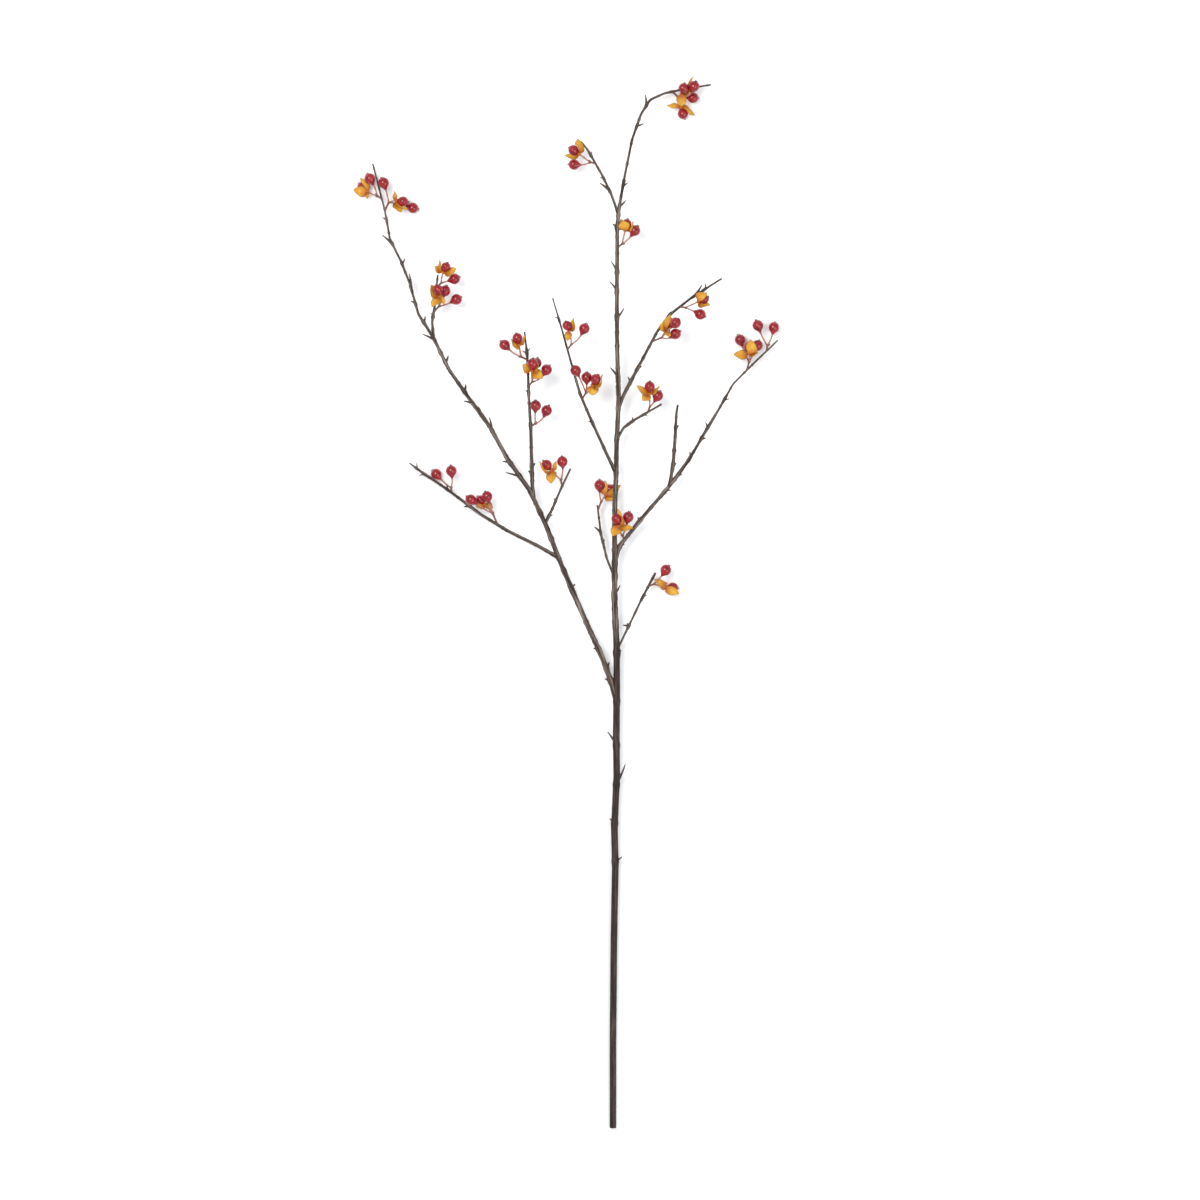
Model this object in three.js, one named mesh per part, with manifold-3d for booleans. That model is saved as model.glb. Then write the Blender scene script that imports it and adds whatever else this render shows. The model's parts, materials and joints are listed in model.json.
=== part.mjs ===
// A cut stem of bittersweet, lying on a level surface: a woody main stem with two long limbs and
// their twigs, sprays of red berries on thin stalks, and the split yellow husks behind the berries.
// Millimetres, +Z up. The stem runs along +Y from its cut end to its tip, and rests on z = 0.
import * as THREE from 'three';
import { mergeVertices } from 'three/addons/utils/BufferGeometryUtils.js';
import Module from 'manifold-3d';

// Driving dimensions
const berryRadius = 5.4;
const neckLength = 1.36; // from a berry's centre to where its stalk ends, in berry radii
const stalkRadius = 0.65;
const stalkBend = 0.45; // how far before the neck a stalk turns, as a share of the way from the fork
const shootRadius = 1.0; // the short woody shoot that carries a spray
const shootTipRadius = 0.85;
const huskSeat = 1.5; // from a berry's centre to the middle of its husk's base, in berry radii
const huskBaseRadius = 2.8;
const petalThickness = 0.9;
const petalFoot = 1.2; // from the middle of a husk's base to where a petal starts
const petalRoom = 0.9; // clear space between a petal's middle and its berry
const leastBulge = 0.12; // as a share of the straight line from a petal's start to its tip
const fullness = 0.5; // under 1, a petal bulges most in the half nearer its base
const curl = 0.3; // depth of a petal's trough, as a share of its half width
const outlineStart = 0.1; // where along a half turn of sine a petal's outline starts
const outlineRun = 0.86; // how much of that half turn it covers
const outlinePower = 0.8; // under 1, the outline is fuller
const spurFootRadius = 1.2;
const spurRise = 0.25; // how much a spur climbs, as a share of its length
const gap = 0.3; // clear space kept between neighbouring pieces

// Facets
const mainStemSides = 8;
const limbSides = 6;
const stalkSides = 4;
const spurSides = 3;
const berrySides = 7;
const stalkRings = 3;
const petalParts = [2, 3, 1]; // divisions across, along and through
const weldDistance = 1e-4;

// Finishes
const finish = {
  wood: { color: 0x6a5a50, roughness: 0.75, metalness: 0 },
  smoothWood: { color: 0x4a3a36, roughness: 0.5, metalness: 0 },
  berry: { color: 0xa32030, roughness: 0.25, metalness: 0 },
  husk: { color: 0xe0a030, roughness: 0.6, metalness: 0 },
};

// Half outline of a berry of radius 1 along its axis: neck, belly, and the small crown at its end.
const berryProfile = [
  [0, -1.5],
  [0.6, -0.82],
  [1, -0.05],
  [0.82, 0.6],
  [0, 1.08],
];

// Wood. A route is a list of [x, y, z, diameter] from base to tip. A spur is
// [x, y of its foot, x, y of its tip], seen from above.
const wood = {
  main_stem: {
    route: [
      [-1, 0, 3.4, 6.8], [-1, 92, 4.5, 6.8], [0, 198, 6.5, 6.8], [1.5, 276, 8, 6.8], [0.5, 315, 9, 6.8],
      [3, 370, 10.5, 6.6], [2.5, 412, 11.5, 6.7], [3, 460, 13, 6.5], [3, 502, 14, 6.2],
      [1.5, 533, 15, 5.8], [0.5, 560, 15.5, 5.4], [1, 596, 16.5, 5], [0.5, 638, 17.5, 4.5],
      [2, 680, 19, 4.3], [3, 722, 20.5, 4.2], [5, 764, 22, 4], [3.5, 817, 23.5, 3.8],
      [3, 870, 24.5, 3.7], [3.5, 922, 25, 3.5], [3.5, 948, 24.5, 3.2], [6, 969, 23.5, 2.5],
      [11.5, 1000, 21.5, 2.2], [19, 1037, 18.5, 2.1], [28.5, 1064, 15.5, 2.2], [38, 1079, 13.5, 2.1],
      [53, 1086, 12, 1.9], [77, 1091, 11, 1.7], [102, 1095, 9.5, 1.3],
    ],
    spurs: [
      [3, 280, 8.5, 285], [1, 320, -4.5, 325], [4, 361, 12, 382], [0, 402, -6.5, 416],
      [3, 560, 6.5, 570], [1, 788, -4, 798], [5, 850, 10.5, 860], [2.5, 879, -4.5, 888],
      [2.5, 899, -3, 909], [6.5, 967, 12.5, 973], [33, 1073, 33, 1084],
    ],
  },
  left_limb: {
    route: [
      [1, 458, 13, 5.2], [-12.5, 495, 14, 5], [-24, 520, 15, 5.1], [-40, 556, 16, 5],
      [-55.5, 592, 17.5, 4.7], [-70.5, 631, 19, 4.5], [-88, 669, 20, 4.2], [-111.5, 702, 21, 3.8],
      [-130, 736, 21.5, 3.6], [-152, 766, 21, 3.3], [-173, 796, 20, 3], [-189, 829, 19, 2.8],
      [-205, 854, 18, 2.4], [-214, 886, 16, 2.2], [-223.5, 910, 14.5, 2.1], [-235, 933, 13, 2],
      [-240.5, 964, 11.5, 1.8], [-247, 989, 10, 1.6], [-253, 1012, 9, 1.3],
    ],
    spurs: [
      [-46, 568, -40.5, 571], [-100, 683, -113.5, 688], [-128, 732, -130.5, 746], [-139, 749, -142, 757],
      [-149, 760, -157.5, 763], [-190, 826, -200.5, 833], [-213, 882, -214.5, 896], [-233, 928, -243, 937],
    ],
  },
  low_left_twig: {
    route: [
      [-60, 600, 17.5, 3], [-77.5, 610, 17, 2.9], [-111.5, 627, 15.5, 2.7], [-139.5, 644, 14, 2.4],
      [-159.5, 659, 12.5, 2.2], [-178.5, 673, 11, 2], [-199.5, 687, 9.5, 1.8], [-214.5, 698, 8, 1.2],
    ],
    spurs: [],
  },
  left_inner_twig: {
    route: [[-72, 635, 19, 2.2], [-65, 649, 20, 2], [-56, 670, 22.5, 1.9], [-45.5, 692, 26, 1.4]],
    spurs: [],
  },
  left_upright_twig: {
    route: [
      [-85, 662, 19.5, 3.2], [-86, 691, 22, 3.1], [-87, 733, 27, 2.7], [-89, 764, 32, 2.2],
      [-90.5, 808, 38, 1.8], [-93.5, 835, 41, 1.3],
    ],
    spurs: [],
  },
  upper_left_twig: {
    route: [[-189, 829, 19, 2.2], [-190.5, 846, 20.5, 2], [-188, 862, 22.5, 2.2], [-184.5, 895, 26, 1.3]],
    spurs: [],
  },
  right_limb: {
    route: [
      [1, 596, 16.5, 3.8], [6.5, 612, 18, 3.7], [25, 635, 18, 3.5], [42, 655, 18, 3.3], [60, 676, 17, 3.1],
      [79, 702, 16, 2.7], [96.5, 732, 14.5, 2.5], [111.5, 757, 12.5, 2.2], [125, 781, 11, 1.8],
      [148, 804, 9.5, 1.7], [172, 827, 8, 1.4],
    ],
    spurs: [[80, 703, 79.5, 710]],
  },
  right_upright_twig: {
    route: [
      [58, 673, 17, 2.7], [62, 696, 19.5, 2.8], [64, 722, 23, 2.6], [65.5, 751, 27, 2], [67, 759, 28.5, 1.6],
    ],
    spurs: [],
  },
  centre_left_twig: {
    route: [
      [1.5, 689, 19.5, 2.7], [-6.5, 705, 21.5, 2.6], [-22.5, 740, 27, 2.4], [-35.5, 770, 32.5, 2.2],
      [-46, 807, 39, 1.8], [-55.5, 841, 44, 1.5], [-64, 870, 48, 1],
    ],
    spurs: [],
  },
  centre_low_left_twig: {
    route: [[-0.5, 581, 16, 2], [-7.5, 598, 15, 1.9], [-13.5, 623, 13.5, 1.8], [-17.5, 654, 10.5, 1.3]],
    spurs: [[-14, 625, -20.5, 631]],
  },
  centre_right_twig: {
    route: [
      [4, 754, 21.5, 2.9], [10.5, 770, 23, 2.8], [28.5, 804, 27, 2.5], [45, 835, 31, 2.2],
      [58, 853, 33, 2.1], [80, 870, 35, 1.9], [113, 891, 36, 1.4],
    ],
    spurs: [[84, 872, 92, 884]],
  },
  small_right_twig: {
    route: [[3, 722, 20.5, 2], [10, 735, 22, 2], [22, 743.5, 24, 2], [50, 759.5, 27, 1.4]],
    spurs: [],
  },
  top_left_twig: {
    route: [
      [4.5, 959, 24, 2.1], [-3, 980, 24, 2], [-12.5, 1000, 24.5, 1.8], [-27.5, 1026, 25, 1.6],
      [-34.5, 1035, 25, 1.2],
    ],
    spurs: [[-5, 984, -14.5, 991]],
  },
  low_right_twig: {
    route: [[4, 503, 14, 2.1], [14.5, 525, 13, 2.1], [28.5, 554, 11, 2.2], [43.5, 583, 9, 2.4]],
    spurs: [[16, 527, 9.5, 528]],
  },
};

// Sprays. A shoot runs from a foot inside the wood, [x, y], to a fork where the stalks part. A berry
// has its centre, the place its neck points back to, and a radius where it isn't the usual one. A
// husk sits behind one berry of its spray, counted from 0. A petal is [x, y, z of its tip, width].
const sprays = {
  left_tip_upper: {
    foot: [-243.5, 973], fork: [-247.5, 977.5, 11.5],
    berries: [
      { at: [-256, 996.5, 11.5], neck: [-252, 989.5, 12] },
      { at: [-264, 988, 5.3], neck: [-257, 982, 8], radius: 5 },
    ],
    husks: [{ berry: 1, petals: [[-266.5, 997, 8, 4.5], [-273, 985.5, 9.5, 8], [-259.5, 975, 6.5, 5]] }],
  },
  left_tip_lower: {
    foot: [-240.5, 963], fork: [-237, 971, 12],
    berries: [
      { at: [-241.5, 992, 15], neck: [-239, 984, 14.5] },
      { at: [-221, 972.5, 13.5], neck: [-230, 973.5, 12.5], radius: 5 },
      { at: [-211, 966, 5.6], neck: [-219, 968.5, 6.5] },
    ],
    husks: [{ berry: 1, petals: [[-229.5, 983, 16, 4], [-222.5, 961.5, 13, 8], [-215.5, 963.5, 16, 4]] }],
  },
  upper_left_tip: {
    foot: [-186, 880], fork: [-181.5, 886, 26.5],
    berries: [
      { at: [-176, 903.5, 31], neck: [-179.5, 896, 29], radius: 4.6 },
      { at: [-167, 891, 24], neck: [-174.5, 888.5, 25] },
    ],
    husks: [{ berry: 0, petals: [[-187, 905, 28, 7], [-182, 910.5, 33, 4.5], [-165.5, 902, 30, 7.5]] }],
  },
  upper_left_base: {
    foot: [-188.5, 856], fork: [-184, 861, 24.5],
    berries: [
      { at: [-184.5, 879.5, 34], neck: [-182.5, 871.5, 30.5], radius: 5.1 },
      { at: [-177, 878.5, 24], neck: [-179.5, 870.5, 24.5] },
      { at: [-165, 869.5, 22], neck: [-172.5, 865.5, 23] },
    ],
    husks: [{ berry: 0, petals: [[-191, 884.5, 33, 8], [-191.5, 862, 31, 9], [-176.5, 864.5, 29.5, 5]] }],
  },
  left_upright_tip: {
    foot: [-91, 804], fork: [-97, 808.5, 40],
    berries: [
      { at: [-114.5, 821.5, 36.5], neck: [-108.5, 815.5, 38] },
      { at: [-101, 828.5, 46], neck: [-99, 819.5, 44], radius: 5.1 },
    ],
    husks: [{ berry: 1, petals: [[-107.5, 828, 47, 6], [-105.5, 820.5, 50, 8], [-93.5, 831.5, 47, 4]] }],
  },
  left_upright_middle: {
    foot: [-89.5, 776], fork: [-86, 781.5, 38],
    berries: [
      { at: [-85, 801.5, 47.5], neck: [-86, 793, 44] },
      { at: [-81, 802.5, 36], neck: [-83, 794, 37.5], radius: 5.1 },
      { at: [-70.5, 795.5, 36], neck: [-75, 788.5, 37.5] },
    ],
    husks: [{ berry: 0, petals: [[-95, 801, 45, 8], [-74, 787.5, 45, 9], [-79, 801, 50, 5]] }],
  },
  left_upright_base: {
    foot: [-87.5, 733], fork: [-83, 738.5, 29.5],
    berries: [
      { at: [-82, 758, 35], neck: [-82.5, 748.5, 32.5] },
      { at: [-70.5, 753, 29], neck: [-74, 745.5, 29] },
    ],
    husks: [],
  },
  centre_left_upper: {
    foot: [-48.5, 814.5], fork: [-45, 821, 43],
    berries: [
      { at: [-49, 841.5, 50], neck: [-46, 833.5, 47], radius: 4.7 },
      { at: [-31, 838.5, 43], neck: [-35, 830.5, 43] },
    ],
    husks: [{ berry: 0, petals: [[-43, 849.5, 51, 6], [-49.5, 825.5, 47, 7]] }],
  },
  centre_left_lower: {
    foot: [-34.5, 764], fork: [-29.5, 769.5, 34],
    berries: [
      { at: [-40, 794.5, 46.5], neck: [-36, 787, 43] },
      { at: [-28.5, 787.5, 38], neck: [-28.5, 778.5, 36.5] },
      { at: [-19, 785.5, 44.5], neck: [-23, 778, 41.5], radius: 5.2 },
    ],
    husks: [{ berry: 2, petals: [[-21.5, 768.5, 42, 9.5], [-13.5, 779.5, 44, 7], [-12.5, 792, 48, 4.5]] }],
  },
  leader: {
    foot: [3.5, 920], fork: [8, 926.5, 27.5],
    berries: [
      { at: [13.5, 948.5, 28], neck: [11.5, 940.5, 28], radius: 4.8 },
      { at: [22, 941.5, 27], neck: [17, 934.5, 27] },
    ],
    husks: [{ berry: 0, petals: [[10.5, 952, 35, 9], [8, 954, 25, 6], [20, 951.5, 29, 5]] }],
  },
  top_left: {
    foot: [-18, 1009.5], fork: [-24, 1013, 24],
    berries: [
      { at: [-42.5, 1026, 22], neck: [-35.5, 1021, 22.5], radius: 5.1 },
      { at: [-42, 1011, 17], neck: [-33.5, 1010.5, 20] },
    ],
    husks: [{ berry: 0, petals: [[-38.5, 1037.5, 24, 8.5], [-51.5, 1021, 21, 6]] }],
  },
  top: {
    foot: [60, 1087.5], fork: [66, 1083, 13],
    berries: [
      { at: [73, 1091, 19.5], neck: [70.5, 1083, 17], radius: 5.1 },
      { at: [84, 1093, 19], neck: [80.5, 1085, 16.5] },
      { at: [83, 1081.5, 7], neck: [75, 1082, 9.5] },
      { at: [72.5, 1064.5, 5.4], neck: [69.5, 1073, 8], radius: 5.2 },
    ],
    husks: [
      { berry: 0, petals: [[82, 1103.5, 20, 4], [71, 1071.5, 17.5, 9]] },
      { berry: 3, petals: [[55.5, 1073, 8, 5], [84.5, 1062.5, 9, 7.5]] },
    ],
  },
  centre_right_lower: {
    foot: [40, 825], fork: [49, 828, 33],
    berries: [
      { at: [59.5, 844.5, 35], neck: [54.5, 837.5, 34.5], radius: 5 },
      { at: [64.5, 844.5, 45], neck: [59, 838.5, 41] },
      { at: [64.5, 833, 36.5], neck: [57, 828, 35] },
    ],
    husks: [{ berry: 0, petals: [[48.5, 843.5, 38, 9], [60, 853, 40.5, 6], [59, 830, 41, 6]] }],
  },
  centre_right_upper: {
    foot: [67, 860.5], fork: [73.5, 860.5, 36],
    berries: [
      { at: [94.5, 869.5, 39.5], neck: [86, 865.5, 38.5], radius: 4.7 },
      { at: [90.5, 853.5, 33], neck: [82, 857.5, 34.5] },
    ],
    husks: [{ berry: 0, petals: [[98, 875, 42.5, 8], [100.5, 863.5, 41.5, 8]] }],
  },
  right_tip_lower: {
    foot: [139, 796], fork: [141.5, 802.5, 11.5],
    berries: [
      { at: [132.5, 827.5, 5.5], neck: [135.5, 819, 7] },
      { at: [150.5, 821.5, 12], neck: [147, 814, 12] },
      { at: [141, 819.5, 18.5], neck: [142, 811, 15.5], radius: 4.8 },
    ],
    husks: [{ berry: 2, petals: [[125.5, 812.5, 15, 8], [142.5, 827.5, 24.5, 8.5], [151, 814, 20, 6]] }],
  },
  right_tip_upper: {
    foot: [158, 813.5], fork: [161, 820.5, 10],
    berries: [
      { at: [151, 842.5, 12], neck: [154, 834, 11] },
      { at: [168, 840.5, 5.7], neck: [166, 831.5, 8] },
    ],
    husks: [],
  },
  small_right: {
    foot: [32, 749.5], fork: [37, 755.5, 28],
    berries: [
      { at: [37.5, 778, 34], neck: [37.5, 769, 32], radius: 5.2 },
      { at: [46, 768.5, 29.5], neck: [41.5, 761, 28.5] },
    ],
    husks: [{ berry: 0, petals: [[24.5, 779.5, 33.5, 7], [29.5, 763.5, 32.5, 8], [48, 779.5, 34, 4]] }],
  },
  low_left_tip: {
    foot: [-168, 665.5], fork: [-170.5, 671.5, 13],
    berries: [
      { at: [-186.5, 686.5, 6.3], neck: [-180.5, 680, 8.5] },
      { at: [-170.5, 690, 14], neck: [-169.5, 681, 14] },
    ],
    husks: [],
  },
  low_left_base: {
    foot: [-121, 633], fork: [-126, 644, 17],
    berries: [
      { at: [-150, 659.5, 21], neck: [-142, 653.5, 20] },
      { at: [-140, 659.5, 12.5], neck: [-133.5, 653, 14.5], radius: 4.7 },
      { at: [-133, 663, 21], neck: [-130, 654.5, 19.5] },
    ],
    husks: [{ berry: 1, petals: [[-145, 653, 17.5, 8], [-127.5, 650, 15, 7]] }],
  },
  left_inner: {
    foot: [-54, 674], fork: [-55.5, 679.5, 25.5],
    berries: [
      { at: [-70.5, 696, 30], neck: [-65, 689.5, 28.5], radius: 5.2 },
      { at: [-54, 699.5, 32], neck: [-53.5, 690.5, 29.5] },
    ],
    husks: [{ berry: 0, petals: [[-77.5, 699.5, 33, 4.5], [-66.5, 676.5, 31, 9.5], [-60.5, 700.5, 33, 4]] }],
  },
  centre_low_left: {
    foot: [-17, 649], fork: [-13.5, 656.5, 11],
    berries: [
      { at: [-15, 675, 11], neck: [-15, 666, 11] },
      { at: [-4, 670.5, 7.5], neck: [-9.5, 663.5, 9.5], radius: 5.1 },
    ],
    husks: [{ berry: 1, petals: [[-9, 679.5, 13, 6.5], [-1, 659.5, 11.5, 8], [6.5, 675.5, 10.5, 6]] }],
  },
  right_limb_base: {
    foot: [10, 616], fork: [9, 620.5, 22],
    berries: [
      { at: [3, 639.5, 28], neck: [5, 630.5, 26] },
      { at: [15, 641.5, 24.5], neck: [13, 632, 24] },
    ],
    husks: [{ berry: 0, petals: [[3.5, 650, 32, 4.5], [-1.5, 621.5, 28.5, 9.5], [20.5, 630.5, 28, 6]] }],
  },
  low_right: {
    foot: [36, 569], fork: [41.5, 571, 11],
    berries: [
      { at: [54.5, 586, 13], neck: [49.5, 579, 12.5] },
      { at: [62, 567.5, 6], neck: [53, 568, 8.5], radius: 5.2 },
    ],
    husks: [{ berry: 1, petals: [[43, 576.5, 13, 9], [68.5, 561.5, 11.5, 7]] }],
  },
};

const wasm = await Module();
wasm.setup();

const point = ([x, y, z]) => new THREE.Vector3(x, y, z);

// A closed geometry becomes a solid that can be joined and cut.
function toSolid(geometry) {
  const bare = geometry.clone();
  bare.deleteAttribute('normal');
  bare.deleteAttribute('uv');
  const welded = mergeVertices(bare, weldDistance);
  return new wasm.Manifold(new wasm.Mesh({
    numProp: 3,
    vertProperties: new Float32Array(welded.attributes.position.array),
    triVerts: new Uint32Array(welded.index.array),
  }));
}

function toGeometry(solid) {
  const { vertProperties, triVerts } = solid.getMesh();
  const geometry = new THREE.BufferGeometry();
  geometry.setAttribute('position', new THREE.BufferAttribute(vertProperties, 3));
  geometry.setIndex(new THREE.BufferAttribute(triVerts, 1));
  geometry.computeVertexNormals();
  return geometry;
}

// A round bar along a curve, with a ring at each step and a radius for each ring.
function taperedBar(curve, radii, sides) {
  const steps = radii.length - 1;
  const corner = (_, i) => {
    const angle = (2 * Math.PI * i) / sides;
    return new THREE.Vector2(Math.cos(angle), Math.sin(angle));
  };
  const section = new THREE.Shape(Array.from({ length: sides }, corner));
  const geometry = new THREE.ExtrudeGeometry(section, { steps, bevelEnabled: false, extrudePath: curve });
  const centres = curve.getSpacedPoints(steps);
  const position = geometry.attributes.position;
  const vertex = new THREE.Vector3();
  for (let i = 0; i < position.count; i += 1) {
    vertex.fromBufferAttribute(position, i);
    const distances = centres.map((centre) => centre.distanceToSquared(vertex));
    const ring = distances.indexOf(Math.min(...distances));
    vertex.sub(centres[ring]).multiplyScalar(radii[ring]).add(centres[ring]);
    position.setXYZ(i, vertex.x, vertex.y, vertex.z);
  }
  return toSolid(geometry);
}

// A cone between two points, blunt where its far radius isn't 0.
function cone(from, to, fromRadius, toRadius, sides) {
  const length = from.distanceTo(to);
  const geometry = new THREE.CylinderGeometry(toRadius, fromRadius, length, sides);
  const along = to.clone().sub(from).normalize();
  geometry.applyQuaternion(new THREE.Quaternion().setFromUnitVectors(THREE.Object3D.DEFAULT_UP, along));
  geometry.translate(...from.clone().add(to).multiplyScalar(0.5).toArray());
  return toSolid(geometry);
}

// A smooth curve through a limb's route, stepped from one route point to the next.
class RouteCurve extends THREE.CatmullRomCurve3 {
  getUtoTmapping(share) {
    return share;
  }
}

// The place on a limb's route that is nearest to x, y as seen from above.
function nearestOn(limb, x, y) {
  const places = limb.route.slice(1).map((end, i) => {
    const [from, to] = [point(limb.route[i]), point(end)];
    const run = [to.x - from.x, to.y - from.y];
    const share = ((x - from.x) * run[0] + (y - from.y) * run[1]) / (run[0] ** 2 + run[1] ** 2);
    return from.lerp(to, THREE.MathUtils.clamp(share, 0, 1));
  });
  const away = (place) => Math.hypot(place.x - x, place.y - y);
  return places.reduce((a, b) => (away(b) < away(a) ? b : a));
}

// Limbs and twigs, thicker all round by grow.
function woodSolid(name, grow) {
  const limb = wood[name];
  const curve = new RouteCurve(limb.route.map(point), false, 'centripetal');
  const radii = limb.route.map((place) => place[3] / 2 + grow);
  const sides = name === 'main_stem' ? mainStemSides : limbSides;
  const spurs = limb.spurs.map(([footX, footY, tipX, tipY]) => {
    const foot = nearestOn(limb, footX, footY);
    const tip = new THREE.Vector3(tipX, tipY, foot.z);
    tip.z += spurRise * foot.distanceTo(tip);
    return cone(foot, tip, spurFootRadius + grow, grow, spurSides);
  });
  return spurs.reduce((all, spur) => all.add(spur), taperedBar(curve, radii, sides));
}

// Berries, each turned about its own axis from neck to crown.
const radiusOf = (berry) => berry.radius ?? berryRadius;
const axisOf = (berry) => point(berry.at).sub(point(berry.neck)).normalize();
const behind = (berry, radii) => point(berry.at).addScaledVector(axisOf(berry), -radii * radiusOf(berry));

function berrySolid(berry, grow) {
  const size = radiusOf(berry) + grow;
  const outline = berryProfile.map(([out, along]) => new THREE.Vector2(out * size, along * size));
  const geometry = new THREE.LatheGeometry(outline, berrySides);
  geometry.applyQuaternion(new THREE.Quaternion().setFromUnitVectors(THREE.Object3D.DEFAULT_UP, axisOf(berry)));
  geometry.translate(...berry.at);
  return toSolid(geometry);
}

// A stalk leaves the fork and comes into the berry's neck along the berry's axis.
function stalkSolid(fork, berry, grow) {
  const neck = behind(berry, neckLength);
  const bend = neck.clone().addScaledVector(axisOf(berry), -stalkBend * neck.distanceTo(fork));
  const curve = new THREE.QuadraticBezierCurve3(fork, bend, neck);
  return taperedBar(curve, Array(stalkRings).fill(stalkRadius + grow), stalkSides);
}

// The limb that a shoot's foot lies on.
function limbUnder([x, y]) {
  const limbs = Object.values(wood);
  const distances = limbs.map((limb) => {
    const place = nearestOn(limb, x, y);
    return Math.hypot(place.x - x, place.y - y);
  });
  return limbs[distances.indexOf(Math.min(...distances))];
}

function spraySolid(name, grow) {
  const spray = sprays[name];
  const fork = point(spray.fork);
  const foot = nearestOn(limbUnder(spray.foot), ...spray.foot);
  const beyond = fork.clone().addScaledVector(fork.clone().sub(foot).normalize(), stalkRadius);
  const parts = [
    cone(foot, beyond, shootRadius + grow, shootTipRadius + grow, stalkSides),
    ...spray.berries.map((berry) => stalkSolid(fork, berry, grow)),
    ...spray.berries.map((berry) => berrySolid(berry, grow)),
  ];
  return parts.reduce((all, part) => all.add(part));
}

// Husks. A petal is a thin pointed oval that bulges away from its berry and curls round it.
function petalSolid(seat, berry, [x, y, z, width], grow) {
  const tip = new THREE.Vector3(x, y, z);
  const centre = point(berry.at);
  const outward = tip.clone().sub(centre).projectOnPlane(axisOf(berry)).normalize();
  const start = seat.clone().addScaledVector(outward, petalFoot);
  const chord = tip.clone().sub(start);
  const along = chord.clone().normalize();
  const middle = start.clone().add(tip).multiplyScalar(0.5);
  const inward = centre.clone().sub(middle);
  inward.addScaledVector(along, -inward.dot(along)).normalize();
  const closest = new THREE.Line3(start, tip).closestPointToPoint(centre, true, new THREE.Vector3());
  const room = radiusOf(berry) + petalThickness / 2 + petalRoom - closest.distanceTo(centre);
  const bulge = Math.max(leastBulge * chord.length(), room);
  const across = new THREE.Vector3().crossVectors(along, inward);
  const geometry = new THREE.BoxGeometry(2, 1, 1, ...petalParts);
  const position = geometry.attributes.position;
  for (let i = 0; i < position.count; i += 1) {
    const side = position.getX(i);
    const length = position.getY(i) + 0.5;
    const layer = position.getZ(i);
    const outline = Math.sin(Math.PI * (outlineStart + outlineRun * length)) ** outlinePower;
    const halfWidth = (width / 2 + grow) * outline;
    const inwards = curl * halfWidth * side * side - bulge * Math.sin(Math.PI * length ** fullness)
      + layer * (petalThickness + 2 * grow);
    const vertex = start.clone().addScaledVector(chord, length);
    vertex.addScaledVector(across, side * halfWidth).addScaledVector(inward, inwards);
    position.setXYZ(i, vertex.x, vertex.y, vertex.z);
  }
  return toSolid(geometry);
}

function huskSolid(berry, petals, grow) {
  const seat = behind(berry, huskSeat);
  const base = new THREE.OctahedronGeometry(huskBaseRadius + grow, 0);
  base.translate(...seat.toArray());
  return petals.reduce((all, petal) => all.add(petalSolid(seat, berry, petal, grow)), toSolid(base));
}

// The pieces in the order they grow. Each is cut clear of the ones before it.
const group = new THREE.Group();
const placed = [];

function boxesMeet(a, b) {
  return [0, 1, 2].every((i) => a.min[i] < b.max[i] && b.min[i] < a.max[i]);
}

function place(name, shape, look) {
  let solid = shape(0);
  for (const room of placed) {
    if (boxesMeet(solid.boundingBox(), room.boundingBox())) solid = solid.subtract(room);
  }
  const whole = solid.decompose().reduce((a, b) => (b.volume() > a.volume() ? b : a));
  placed.push(shape(gap));
  const mesh = new THREE.Mesh(toGeometry(whole), new THREE.MeshStandardMaterial(look));
  mesh.name = name;
  group.add(mesh);
}

for (const name of Object.keys(wood)) {
  place(name, (grow) => woodSolid(name, grow), name === 'main_stem' ? finish.smoothWood : finish.wood);
}
for (const name of Object.keys(sprays)) {
  place(`${name}_spray`, (grow) => spraySolid(name, grow), finish.berry);
}
for (const [name, spray] of Object.entries(sprays)) {
  spray.husks.forEach(({ berry, petals }, i) => {
    const number = spray.husks.length > 1 ? `_${i + 1}` : '';
    place(`${name}_husk${number}`, (grow) => huskSolid(spray.berries[berry], petals, grow), finish.husk);
  });
}

// The origin is the middle of the base of the whole stem's box.
const box = new THREE.Box3().setFromObject(group, true);
const middle = box.getCenter(new THREE.Vector3());
group.position.set(-middle.x, -middle.y, -box.min.z);
group.updateMatrixWorld(true);

export default group;
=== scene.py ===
import json
import math
import random

import bmesh
import bpy
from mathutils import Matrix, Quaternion, Vector, noise
from mathutils.bvhtree import BVHTree

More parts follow.
